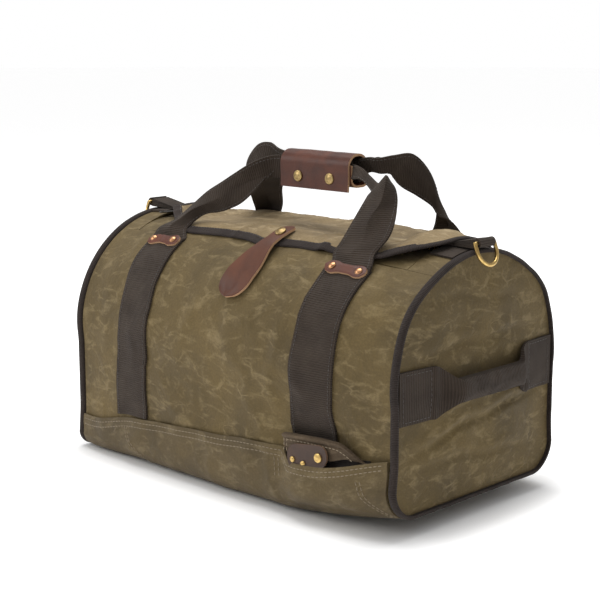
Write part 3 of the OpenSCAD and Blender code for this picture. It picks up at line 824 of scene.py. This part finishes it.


# Stations of each leg from its patch to the grip, as judged: one edge, the middle, the other.
LEGS = {
    ("front", "right"): [
        [(108, -71, 251), (132, -72, 253), (156, -66, 254)],
        [(112, -65, 261), (138, -63, 264), (164, -57, 269)],
        [(118, -54, 281), (140, -57, 283), (161, -44, 284)],
        [(124, -46, 298), (146, -47, 301), (153, -32, 301)],
        [(124, -38, 305), (147, -41, 324), (144, -29, 314)],
        [(120, -29, 304), (128, -29, 314), (126, -23, 306)],
        [(105, -20, 310), (105, -17, 319), (105, -13, 311)],
        [(90, -15, 315), (90, -12, 325), (90, -9, 315)],
        [(72, -11, 313), (72, -7.6, 328), (72, -4.2, 313)],
    ],
    ("front", "left"): [
        [(-147, -71, 250), (-127, -74, 253), (-107, -69, 251)],
        [(-130, -64, 259), (-117, -68, 262), (-104, -60, 260)],
        [(-114, -54, 275), (-105, -62, 272), (-96, -48, 268)],
        [(-100, -45, 290), (-91, -50, 280), (-84, -43, 270)],
        [(-79, -41, 303), (-76, -42, 288), (-73, -40, 273)],
        [(-59, -36, 316), (-58, -32, 300), (-57, -34, 282)],
        [(-44, -26, 326), (-42, -21, 308), (-42, -24, 300)],
        [(-32, -15, 331), (-32, -12, 308), (-31, -12, 318)],
        [(-16, -10.5, 332), (-16, -7.4, 308), (-16, -4.4, 332)],
    ],
    ("back", "left"): [
        [(-147, 71, 251), (-125, 73, 253), (-104, 68, 252)],
        [(-132, 57, 260), (-110, 60, 266), (-86, 54, 270)],
        [(-120, 41, 273), (-97, 40, 281), (-68, 35, 288)],
        [(-110, 25, 293), (-86, 21, 298), (-57, 26, 301)],
        [(-99, 13, 317), (-77, 6, 313), (-53, 14, 309)],
        [(-79, 9, 337), (-64, 3, 318), (-48, 13, 315)],
        [(-60, 8, 342), (-52, 5, 318), (-44, 14, 324)],
        [(-42, 5.5, 336), (-42, 8.0, 309), (-40, 12, 330)],
        [(-16, 4.4, 332), (-16, 7.4, 308), (-16, 10.5, 332)],
    ],
    ("back", "right"): [
        [(109, 73, 252), (131, 74, 254), (153, 73, 252)],
        [(120, 66, 265), (133, 73, 266), (147, 66, 265)],
        [(126, 62, 283), (134, 66, 277), (141, 60, 272)],
        [(129, 55, 304), (132, 58, 290), (134, 55, 276)],
        [(127, 44, 325), (128, 49, 305), (127, 53, 285)],
        [(120, 30, 339), (120, 34, 318), (118, 38, 297)],
        [(109, 15, 338), (108, 19, 320), (106, 25, 309)],
        [(96, 6, 335), (96, 10, 320), (96, 14, 333)],
        [(84, 5, 335), (84, 8.5, 321), (84, 12, 334)],
        [(72, 4.2, 333), (72, 7.6, 316), (72, 11, 333)],
    ],
}
GRIP_ENDS = (-15.0, 71.0)
GRIP_X = 28.0
GRIP_Y = 7.4
GRIP_Z = 320.0
for (side, end), stations in LEGS.items():
    back = side == "back"
    x = STRAP_X if end == "right" else -STRAP_X
    pivot = 80 if back else -80
    hinge = (x, pivot, 240.0), (x, pivot * 0.9, 253.0)
    shape, middle, normal = ribbon(foot_rails(x, back) + stations, 96)
    leg = shape.piece(f"{side}_{end}_leg_webbing", WEBBING)
    bend(leg, "bag", f"{side}_handle", *hinge, "webbing", f"{side}_{end}_handle_leg")
    thread = edge_sewing(middle[10:], normal[10:]).piece(f"{side}_{end}_leg_stitching", DARK_THREAD)
    bend(thread, "bag", f"{side}_handle", *hinge, "webbing")


def power(value, exponent):
    """A power that keeps the value's sign."""
    return np.sign(value) * np.abs(value) ** exponent


for side, sign in (("front", -1), ("back", 1)):
    xs = np.linspace(*GRIP_ENDS, 60)
    turn = np.linspace(0, 2 * np.pi, 26, endpoint=False)
    profile = np.stack([3.3 * power(np.cos(turn), 0.8), 12.0 * power(np.sin(turn), 0.7)], -1)
    path = np.stack([xs, np.full(60, sign * GRIP_Y), np.full(60, GRIP_Z)], -1)
    grip = Shape().sweep(path, np.tile([0.0, 1, 0], (60, 1)), np.tile([0.0, 0, 1], (60, 1)), profile)
    ride(grip.piece(f"{side}_grip_webbing", WEBBING), f"{side}_handle", "webbing", f"{side}_handle_grip")

# ---------------- leather wrap

WRAP_HALF = 47.0
WRAP_T = 2.4
WRAP_Y = 12.2
WRAP_FOLD = (GRIP_X, 14, 330), (GRIP_X, 2, 330)
SNAP_Z = GRIP_Z - 7.5


def leather_strip(line, x0, x1, sway, columns=40):
    """Leather that follows a line of (y, z) places and runs from x0 to x1."""
    t, ends = grid(np.linspace(0, 1, len(line)), np.linspace(-1, 1, columns))
    x = np.linspace(x0, x1, columns) + sway * cloud(t * 60, ends * 3, 16, 2.2) * np.abs(ends) ** 3
    middle = np.stack(np.broadcast_arrays(x, line[:, :1], line[:, 1:]), -1)
    tangent = np.gradient(line, axis=0)
    out = unit(np.stack([np.zeros(len(line)), tangent[:, 1], -tangent[:, 0]], -1))
    out *= np.sign((out[:, 1:] * (line - [0, GRIP_Z])).sum(-1).mean())
    waves = 0.5 * cloud(t * 70, x, 17, 6.1) * ease(1.3 - np.abs(ends))
    upper = middle + out[:, None] * (WRAP_T / 2 + waves[..., None])
    lower = middle - out[:, None] * (WRAP_T / 2 - waves[..., None])
    return Shape().slab(upper, lower, np.stack([x, t * 110], -1) * MM, edge=1)


def arc(y, z, radius, start, end):
    """Places on an arc, from and to an angle in degrees."""
    turn = np.radians(np.linspace(start, end, 16))
    return np.stack([y + radius * np.cos(turn), z + radius * np.sin(turn)], -1)


over = [[(-WRAP_Y - 3.0, 300.5), (-WRAP_Y - 2.5, 310)],
        arc(-2.9, 325.2, 12.0, 180, 90), arc(0.2, 325.2, 12.0, 90, 0), [(WRAP_Y, 321.0)]]
under = [[(WRAP_Y, 320.6)], arc(4.2, 313.8, 8.0, 0, -90), arc(-4.2, 313.8, 8.0, -90, -180),
         [(-WRAP_Y, 327.0)]]
wrap_left, wrap_right = GRIP_X - WRAP_HALF, GRIP_X + WRAP_HALF
made = leather_strip(even(np.concatenate(over), 1.2), wrap_left, wrap_right, 1.0)
made = made.piece("wrap_outer_leather", LEATHER, CUT)
bend(made, "back_handle", "wrap_top", *WRAP_FOLD, "leather", "wrap_flap")
made = leather_strip(even(np.concatenate(under), 1.2), wrap_left + 0.8, wrap_right + 1.6, 0.8)
ride(made.piece("wrap_inner_leather", LEATHER, CUT), "back_handle", "leather", "wrap_body")

snaps = Shape()
studs = Shape()
for x in (GRIP_X - 22, GRIP_X + 22):
    snaps.lathe(SNAP, (x, -WRAP_Y - 3.6, SNAP_Z), (0, -1, 0))
    studs.lathe(STUD, (x, -WRAP_Y - 1.0, SNAP_Z), (0, -1, 0))
ride(snaps.piece("wrap_snap_caps", OLD_BRASS, crease=60), "wrap_top", "brass", "wrap_snaps")
ride(studs.piece("wrap_snap_studs", OLD_BRASS, crease=60), "back_handle", "brass", "wrap_studs")

# ---------------- storm flap

FLAP_REAR = 4.375
FLAP_FRONT = 3.655
FLAP_OFF = 2.6
FLAP_T = 1.8
FLAP_FOLD = (0, 77.0, 248.3), (0, 40.0, 262.0)


def right_reach(g):
    """How far the flap reaches right at a girth, with a wide round corner at the front."""
    corner_turn = (1 - (1 - np.clip((g - FLAP_FRONT) / 0.3, 0, 1)) ** 2.2) ** 0.6
    return 142 + 64 * corner_turn - 10 * ease((g - 4.2) / 0.15)


def left_reach(g):
    """How far it reaches left: the front edge sweeps back and leaves the zip's slider bare."""
    return 112 + 76 * np.clip((g - FLAP_FRONT) / 0.27, 0, 1) ** 0.8


def flap_wrinkle(g, x):
    """Folds of the flap, which sags between the zip's ends and is raised over the right one."""
    s = along_girth(g)
    free = ease((216 - np.abs(x)) / 30) * ease((FLAP_REAR - g) / 0.1)
    ridges = 5.0 * folds(s * 0.8, x, 44, 43.0) + 3.0 * folds(s, x * 0.9, 27, 47.0)
    wave = 3.0 * cloud(s, x, 48, 41.0) + ridges
    sag = 13.0 * ease((0.3 - np.abs(g - 4)) / 0.25) * ease((175 - np.abs(x)) / 40)
    raised = 3.6 * ease((x - 148) / 30) * ease((0.34 - np.abs(g - 3.93)) / 0.2)
    return 0.4 + free * np.clip(wave, -0.2, 3.2) + raised - sag


def on_flap(g, x, off):
    """The flap lies low along its front edge and rises over the zip and the ends."""
    low = 1.5 * ease((3.73 - g) / 0.07) * ease((184 - np.abs(x)) / 12)
    return on_bag(g, x, off - low + flap_wrinkle(g, x))


def edge_shift(g, x):
    """Waves of the flap's front edge, which the pull tab drags down."""
    near = ease((3.8 - g) / 0.145)
    return near * (0.012 * cloud(x, 0, 36, 51.0) - 0.024 * ease(1 - np.abs(x - 18) / 46))


def flap_cloth():
    """The flap in rows from its front edge to its rear edge."""
    rows = FLAP_FRONT + (FLAP_REAR - FLAP_FRONT) * np.linspace(0, 1, 76) ** 1.15
    g = np.broadcast_to(rows[:, None], (76, 150))
    x = mix(-left_reach(rows), right_reach(rows), np.linspace(0, 1, 150)[:, None]).T
    return Shape().sheet(g + edge_shift(g, x), x, FLAP_OFF, FLAP_T, on_flap)


def flap_outline():
    """The flap's edge as (girth, x), from the left rear corner round the front to the right."""
    side = np.linspace(4.24, FLAP_FRONT + 1e-4, 90)
    right = np.stack([side, right_reach(side)], -1)
    front = np.stack([np.full(80, FLAP_FRONT), np.linspace(141, -111, 80)], -1)
    left = np.stack([side[::-1], -left_reach(side[::-1])], -1)
    return np.concatenate([right, front, left])[::-1]


def flap_edging():
    """The binding folded over the flap's free edge, and its sewing."""
    g, x = (even(flap_outline() * [ARCH_MM, 1], 3.0) / [ARCH_MM, 1]).T
    g = g + edge_shift(g, x)
    line = on_flap(g, x, FLAP_OFF + FLAP_T / 2)
    out = unit(on_flap(g, x, FLAP_OFF + 3) - line)
    inward = unit(np.cross(out, unit(np.gradient(calmed(line, 9), axis=0))))
    inward *= np.sign((([0, 0, 250.0] - line) * inward).sum(-1).mean())
    half_t = FLAP_T / 2 + 0.7
    profile = [(8.6, FLAP_T / 2 + 0.1), (8.4, half_t), (4.0, half_t + 0.2), (0.2, half_t),
               (-1.0, half_t * 0.6), (-1.4, 0), (-1.0, -half_t * 0.6),
               (0.2, -half_t + 0.2), (4.0, -half_t), (8.4, -half_t), (8.6, -FLAP_T / 2)]
    sewn = line + inward * 7.2 + out * (half_t + 0.1)
    return Shape().sweep(line, inward, out, profile), Shape().stitches(sewn, out, 2.8, 1.5, 0.35)


flap = flap_cloth().piece("storm_flap_canvas", FLAP)
bend(flap, "bag", "flap", *FLAP_FOLD, "canvas", "storm_flap")
binding, sewn = flap_edging()
bend(binding.piece("storm_flap_binding", BINDING), "bag", "flap", *FLAP_FOLD, "binding", "flap_binding")
bend(sewn.piece("storm_flap_stitching", DARK_THREAD), "bag", "flap", *FLAP_FOLD, "binding")

# ---------------- pull tab

TAB_TOP = 3.765
TAB_LOW = 3.315
TAB_SNAP_G = mix(TAB_TOP, TAB_LOW, 0.155)
TAB_SNAP_X = 31.0


def on_tab(g, x, off):
    """The tab rests on the flap's binding above and on the body below."""
    upper = flap_wrinkle(g, x)
    return on_bag(g, x, off + mix(upper, np.maximum(relief(g, x), -0.5), ease((3.66 - g) / 0.14)))


def tab_leather():
    """A paddle of leather with a narrow head, which slants down to the left."""
    k = np.linspace(0, 1, 60)[:, None]
    j = np.linspace(-1, 1, 15)
    half = mix(7.8, 19.5, ease((k - 0.2) / 0.55))
    half = half * np.where(k < 0.12, np.sqrt(np.maximum(0.03, 1 - (1 - k / 0.12) ** 2)), 1)
    half = half * np.where(k > 0.8, np.sqrt(np.maximum(0.01, 1 - ((k - 0.8) / 0.2) ** 2)), 1)
    x = 34 - 19 * k + j * half
    g = np.broadcast_to(mix(TAB_TOP, TAB_LOW, k), x.shape)
    height = mix(6.6, 1.6, ease((k - 0.3) / 0.35)) + 1.1 * j * j * ease((k - 0.3) / 0.3)
    return Shape().sheet(g, x, height, 2.6, on_tab, edge=1)


tab = tab_leather().piece("pull_tab_leather", TAB, CUT)
bend(tab, "flap", "pull_tab", (30, -69, 259.0), (28, -80, 250.0), "leather", "tab_head", "tab_paddle")
seat = on_tab(TAB_SNAP_G, TAB_SNAP_X, 9.3)
out = unit(on_tab(TAB_SNAP_G, TAB_SNAP_X, 10.3) - seat)
snap = Shape().lathe(SNAP, seat, out).piece("pull_tab_snap", OLD_BRASS, crease=60)
ride(snap, "flap", "brass", "tab_snap")

# ---------------- top ends, rings and loops

BAR_X = HALF_L + 5.5
BAR_Z = ARCH_Z + END_R + 9.5


def ring_loop(sign):
    """Folded webbing from the zip's end round the ring's bar and back."""
    eye = 2.3
    bar = np.array([BAR_X, BAR_Z])
    turn = np.linspace(np.pi / 2 + 0.1, -np.pi / 2 - 0.1, 16)
    around = bar + (eye + 2.2) * np.stack([np.cos(turn), np.sin(turn)], -1)
    places = np.linspace(MOUTH_X, BAR_X - 3, 12)
    slope = (places - MOUTH_X) / (BAR_X - 3 - MOUTH_X)
    low = np.stack([places[::-1], np.full(12, BAR_Z - 5.2)], -1)
    high = np.stack([places, mix(BAR_Z - 3.6, BAR_Z + 3.6, slope ** 0.9)], -1)
    outer = np.concatenate([around, low, high])
    inner = np.where(np.abs(outer[:, :1] - BAR_X) < 7, bar + eye * unit(outer - bar), bar - [eye, 0])
    width = np.linspace(-11.5, 11.5, 9)
    upper, lower = (np.stack(np.broadcast_arrays(line[:, :1] * sign, width, line[:, 1:]), -1)
                    for line in (outer, inner))
    uv = np.stack(np.broadcast_arrays(width, distances(outer)[:, None]), -1) * MM
    return Shape().slab(upper, lower, uv)


def d_ring(sign):
    """A D of round rod that hangs from its bar, tilted outwards."""
    span = 14.5
    drop = 22 - span
    tilt = math.radians(21)
    down = np.array([sign * math.sin(tilt), 0, -math.cos(tilt)])
    across = np.array([0, 1.0, 0])
    turn = np.linspace(-np.pi / 2, np.pi / 2, 30)[:, None]
    bow = down * (drop + span * np.cos(turn)) + across * span * np.sin(turn)
    legs = down * np.linspace(0, drop * 0.8, 4)[:, None]
    bar = across * np.linspace(span - 2, 2 - span, 14)[:, None]
    path = np.concatenate([legs - across * span, bow, legs[::-1] + across * span, bar])
    path = path + [sign * BAR_X, 0, BAR_Z]
    tangent = unit(np.roll(path, -1, axis=0) - np.roll(path, 1, axis=0))
    normal = np.tile(unit(np.cross(down, across)), (len(path), 1))
    turn = np.linspace(0, 2 * np.pi, 16, endpoint=False)
    rod = 2.0 * np.stack([np.cos(turn), np.sin(turn)], -1)
    return Shape().sweep(path, np.cross(tangent, normal), normal, rod, ring=True)


for side, sign in (("left", -1), ("right", 1)):
    edge = HEM_TOP + 0.002
    g, x = grid(np.linspace(edge, 8 - edge, 50), np.linspace(MOUTH_X + 0.5, BODY_END, 9))
    gusset = Shape().sheet(g, x * sign, -2.0, 2.0).piece(f"{side}_top_end_canvas", CANVAS)
    ride(gusset, "bag", "canvas", f"{side}_top_gusset")
    reach = 0.18 if sign > 0 else 0.1
    g, x = grid(np.linspace(4 - reach, 4 + reach, 30), np.linspace(MOUTH_X + 4, BODY_END, 7))
    patch = Shape().sheet(g, x * sign, 0.5, 1.8).piece(f"{side}_zip_end_webbing_piece", WEBBING)
    ride(patch, "bag", "webbing", f"{side}_zip_end_webbing")
    loop = ring_loop(sign).piece(f"{side}_ring_loop_webbing", WEBBING)
    ride(loop, "bag", "webbing", f"{side}_ring_loop")
    ring = d_ring(sign).piece(f"{side}_ring_of_brass", BRASS, crease=60)
    ride(ring, f"{side}_ring", "brass", f"{side}_d_ring")

# ---------------- mouth and zip

LIP_LOW = 3.665
LIP_HIGH = 3.92
TAPE_HIGH = 3.98
TROUGH = 3.95


def on_lip(g, x, off):
    """Point on a lip, which dips from the round top to the zip."""
    h = np.where(g > 4, 8 - g, g)
    fall = (ARCH_Z + rad(x) - ZIP_Z) * ease((h - LIP_LOW) / (TROUGH - LIP_LOW))
    return on_bag(g, x, off) - fall[..., None] * [0, 0, 1]


TOOTH = [(2.0, -1.4), (2.2, 0), (2.0, 1.4), (-2.0, 1.4), (-2.2, 0), (-2.0, -1.4)]
TOOTH_PITCH = 5.0


def teeth(sign, x0, x1):
    """Zip teeth as bevelled bars, half a pitch further on at the back."""
    shape = Shape()
    places = np.arange(6 - MOUTH_X, MOUTH_X - 6, TOOTH_PITCH) + (0 if sign > 0 else TOOTH_PITCH / 2)
    size = np.array([[0.8], [1], [1], [0.8]])
    for x in places[(places >= x0) & (places < x1)]:
        path = [(x + step, -1.6 * sign, ZIP_Z - 2) for step in (-1.1, -0.7, 0.7, 1.1)]
        shape.sweep(path, size * [0, 1, 0], size * [0, 0, 1], TOOTH)
    return shape


def lip_strip(sign, low, high, count, x0, x1):
    """Girths and distances of a strip of the front (1) or back (-1) lip."""
    g, x = grid(np.linspace(low, high, count), np.linspace(x0, x1, 48))
    return (g if sign > 0 else 8 - g), x


# Each lip is made in two halves; the left one stands for the CAD's whole lip, tape or teeth.
for side, sign in (("front", 1), ("back", -1)):
    for half, x0, x1 in (("left", -MOUTH_X, 0.0), ("right", 0.0, MOUTH_X)):
        end_x = x0 if half == "left" else x1
        fold = (end_x, 0, 250.0), (end_x * 0.62, 0, 250.0)
        lip = Shape().sheet(*lip_strip(sign, LIP_LOW, LIP_HIGH, 22, x0, x1), -2.0, 2.0, on_lip)
        tape = Shape().sheet(*lip_strip(sign, LIP_HIGH - 0.02, TAPE_HIGH, 7, x0, x1), -3.5, 1.0, on_lip)
        for shape, name, material, slot, node in (
                (lip, "lip_canvas", CANVAS, "canvas", "lip"),
                (tape, "zip_tape_cloth", BINDING, "webbing", "zip_tape"),
                (teeth(sign, x0, x1 + 0.1), "zip_teeth_row", BRASS, "brass", "zip_teeth")):
            made = shape.piece(f"{side}_{half}_{name}", material)
            nodes = [f"{side}_{node}"] if half == "left" else []
            bend(made, "bag", f"{side}_mouth", *fold, slot, *nodes)

# ---------------- end handles

GRAB_Z = 134.0
SEWN_Y = (76, 112)
SEWN_Z = (112, 156)


def handle_line(y, k, depth):
    """Point of an end handle at y, k from -1 to 1 across it, depth from 0 inside to 1 outside."""
    reach = 72 - np.abs(y)
    arch = HALF_L + 3.2 + 10.5 * ease(reach / 26)
    tall = mix(50, 22, ease((reach - 1) / 24)) / 2
    thick = mix(2.5, 7.5, ease((reach - 4) / 24))
    crown = 3.4 * (1 - k * k) * ease(reach / 26)
    swell = end_swell(y, GRAB_Z + k * tall) * ease(-reach / 12 + 0.9)
    return np.stack([arch + crown * depth + thick * depth + swell * 0.8, y, GRAB_Z + k * tall], -1)


def sewn_flat(y, k, off):
    """Point of the sewn-down end of an end handle, off above the end panel."""
    z = GRAB_Z + k * WEB_HALF
    return np.stack([HALF_L + end_swell(y, z) + off, y, z], -1)


def end_handle_half(way, sign):
    """Half of an end handle, from its middle to its sewn end at the front (-1) or rear (1)."""
    y, k = grid(np.linspace(0, way * 117, 90), np.linspace(-1, 1, 15))
    settled = ease((np.abs(y) - 70) / 6)[..., None]
    dent = 0.9 * cloud(y, k * 20, 12, 17.0) * ease((70 - np.abs(y)) / 30)
    upper = mix(handle_line(y, k, 1.0), sewn_flat(y, k, 3.0), settled) + dent[..., None] * [1, 0, 0]
    lower = mix(handle_line(y, k, 0.0), sewn_flat(y, k, 0.4), settled)
    uv = np.stack([GRAB_Z + k * WEB_HALF, y], -1) * MM
    return Shape().slab(upper * [sign, 1, 1], lower * [sign, 1, 1], uv)


def sewn_line(shape, y, z, sign):
    """Sewing along places on a handle's sewn-down end."""
    y, z = np.broadcast_arrays(y, z)
    line = np.stack([HALF_L + end_swell(y, z) + 3.05, y, z], -1) * [sign, 1, 1]
    shape.stitches(line, np.tile([float(sign), 0, 0], (len(line), 1)), thick=0.35)


end_sewing = Shape()
for side, sign in (("left", -1), ("right", 1)):
    for way, half in ((-1, "front"), (1, "rear")):
        made = end_handle_half(way, sign).piece(f"{side}_end_handle_{half}_half", WEBBING)
        nodes = [f"{side}_end_handle", f"{side}_handle_anchors", f"{side}_handle_tails"] if way < 0 else []
        bend(made, "bag", f"{side}_grab", (0, way * 73, GRAB_Z), (0, way * 40, GRAB_Z), "webbing", *nodes)
        for y in SEWN_Y:
            sewn_line(end_sewing, y * way, np.linspace(*SEWN_Z, 30), sign)
        for z in SEWN_Z:
            sewn_line(end_sewing, np.linspace(*SEWN_Y, 24) * way, z, sign)
ride(end_sewing.piece("end_handle_stitching", DARK_THREAD), "bag", "webbing")
ride(strap_sewing.piece("strap_stitching", DARK_THREAD), "bag", "webbing")

# ---------------- pocket flap

POCKET_X = (100.0, 206.0)
POCKET_FOLD = (150.0, -131.0, 76.0), (148.5, -131.0, 67.0)


def on_pocket(g, x, off):
    """The flap follows only the shallower part of the body's unevenness."""
    return on_bag(g, x, off + np.clip(relief(g, x), -1.2, 2.0))


def pocket_edges(s):
    """Heights of the flap's lower and upper edge, from its left end (0) to its right (1)."""
    low = 65 + 6.0 * ease((s - 0.5) / 0.25) - 2.0 * ease((s - 0.85) / 0.15)
    high = 84 + 1.5 * np.sin(np.pi * s) - 15.5 * ease((s - 0.6) / 0.42)
    return low, np.maximum(low + 1.2, high)


def pocket_cloth(s):
    """The flap, which tapers to the right and has a roll along its upper edge."""
    k = np.linspace(0, 1, 16)[:, None]
    x = mix(*POCKET_X, s) + 4.5 * (1 - k) ** 1.5 * (1 - s) ** 6 + 2.5 * k ** 8 * (1 - s) ** 8
    roll = 2.2 * ease((k - 0.72) / 0.12) * ease((1.02 - k) / 0.1)
    crown = mix(5.0, 3.2, s) + 1.2 * cloud(60 * k, x, 22, 61.0) + roll
    return Shape().sheet(side_g(mix(*pocket_edges(s), k), x), x, crown, 1.8, on_pocket)


def pocket_sewing(s):
    """One line of sewing under the flap's upper edge and two down its left end."""
    shape = Shape()
    x = mix(*POCKET_X, s)[3:44]
    low, high = pocket_edges(s)
    seam_on_bag(shape, side_g(high[3:44] - 6.5, x), x, 8.0, on_pocket, length=2.8)
    down = mix(low[2], high[2], np.linspace(0.1, 0.9, 12))
    for x in (POCKET_X[0] + 3.0, POCKET_X[0] + 6.5):
        seam_on_bag(shape, side_g(down, x), x, 8.0, on_pocket, length=2.8)
    return shape


def pocket_tab():
    """A dark tab with round ends, tilted up to the right."""
    u = np.linspace(-1, 1, 26)
    v = np.linspace(-1, 1, 16)[:, None]
    z = 66 + 12 * v * np.sqrt(np.maximum(0.05, 1 - np.abs(u) ** 6)) + 3 * u
    x = np.broadcast_to(133 + 24 * u, z.shape)
    return Shape().sheet(side_g(z, x), x, 8.2, 2.0, on_pocket, edge=1)


stations = np.linspace(0, 1, 54)
cover = pocket_cloth(stations).piece("pocket_flap_canvas", POCKET)
bend(cover, "bag", "pocket_cover", *POCKET_FOLD, "canvas", "pocket_flap")
hem = pocket_sewing(stations).piece("pocket_flap_stitching", THREAD)
bend(hem, "bag", "pocket_cover", *POCKET_FOLD, "canvas")
tab = pocket_tab().piece("pocket_tab_leather", DARK_LEATHER, CUT_DARK)
ride(tab, "pocket_cover", "dark_leather", "pocket_tab")
caps = Shape()
for px, pz, size in ((147, 67.5, 0.8), (129, 58.5, 0.5), (116, 60.5, 0.5)):
    caps.lathe([(r * size, h * 0.9) for r, h in SNAP], on_pocket(side_g(pz, px), px, 10.15), (0, -1, 0))
ride(caps.piece("pocket_snap_caps", BRASS, crease=60), "pocket_cover", "brass", "pocket_snaps")

# A dark sheet under the pocket's mouth: painted shade for the shadow inside the deep pocket, not a lining.
g, x = grid(side_g(np.linspace(36, 64, 12)), np.linspace(94, 200, 40))
ride(Shape().sheet(g, x, 0.3, 0.4).piece("pocket_mouth_painted_shade", POCKET_MOUTH_SHADE), "bag", "canvas")

# ---------------- carried-over hardware

for name, material in (("zip_stops", BRASS), ("zip_slider", DARK_METAL), ("zip_pull", DARK_METAL)):
    materials = bpy.data.objects[name].data.materials
    materials.clear()
    materials.append(material)

# ---------------- floor, light and camera

floor_mesh = bpy.data.meshes.new("floor")
turn = np.linspace(0, 2 * np.pi, 64, endpoint=False)
floor_mesh.from_pydata([(14 * math.cos(a), 14 * math.sin(a), 0) for a in turn], [], [tuple(range(64))])
floor = bpy.data.objects.new("floor", floor_mesh)
bpy.context.scene.collection.objects.link(floor)
paper = Finish("white paper", 0.55, specular=0.2)
paper.set("Base Color", (0.93, 0.93, 0.93, 1))
paper.set("Emission Color", (1, 1, 1, 1))
# The paper glows a little, except under the bag, so that the contact shadow stays.
steps = paper.node("ShaderNodeSeparateXYZ", {"Vector": paper.place(solid=True)}).outputs
squares = []
for step, half_size in ((steps[0], 0.205), (steps[1], 0.105)):
    beyond = paper.combine(paper.combine(step, 0.0, "ABSOLUTE"), half_size, "SUBTRACT")
    past = paper.combine(beyond, 0.0, "MAXIMUM")
    squares.append(paper.combine(past, past, "MULTIPLY"))
clear = paper.ramp(paper.combine(*squares), (0.0, 0.0), (0.004, 1.0))
paper.set("Emission Strength", paper.combine(clear, 0.5, "MULTIPLY"))
floor_mesh.materials.append(paper.material)

world = bpy.data.worlds.new("studio")
bpy.context.scene.world = world
world.use_nodes = True
tree = world.node_tree
back_light = tree.nodes["Background"]
seen = tree.nodes.new("ShaderNodeBackground")
path_kind = tree.nodes.new("ShaderNodeLightPath")
choice = tree.nodes.new("ShaderNodeMixShader")
for background, strength in ((back_light, 0.52), (seen, 1.0)):
    background.inputs["Color"].default_value = (1, 1, 1, 1)
    background.inputs["Strength"].default_value = strength
tree.links.new(path_kind.outputs["Is Camera Ray"], choice.inputs[0])
tree.links.new(back_light.outputs[0], choice.inputs[1])
tree.links.new(seen.outputs[0], choice.inputs[2])
tree.links.new(choice.outputs[0], tree.nodes["World Output"].inputs["Surface"])


def softbox(name, place, target, size, power):
    """A square area light that points at a target."""
    light = bpy.data.lights.new(name, "AREA")
    light.size = size
    light.energy = power
    made = bpy.data.objects.new(name, light)
    made.location = place
    made.rotation_euler = (Vector(target) - Vector(place)).to_track_quat("-Z", "Y").to_euler()
    bpy.context.scene.collection.objects.link(made)


softbox("top softbox", (-0.2, 0.15, 1.9), (0, 0, 0.15), 1.5, 32)
softbox("key softbox", (-1.3, -1.7, 1.3), (0, 0, 0.15), 1.2, 18)

azimuth, elevation, distance = math.radians(43.89), math.radians(10.81), 1.534
target = Vector((0, 0, 0.1798))
away = Vector((math.sin(azimuth) * math.cos(elevation), -math.cos(azimuth) * math.cos(elevation),
               math.sin(elevation)))
lens = bpy.data.cameras.new("camera")
lens.lens = 87.4
lens.sensor_width = 36
lens.shift_x = -0.0077
camera = bpy.data.objects.new("camera", lens)
camera.location = target + away * distance
camera.rotation_euler = (-away).to_track_quat("-Z", "Y").to_euler()
bpy.context.scene.collection.objects.link(camera)
bpy.context.scene.camera = camera
bpy.context.scene.view_settings.view_transform = "Standard"
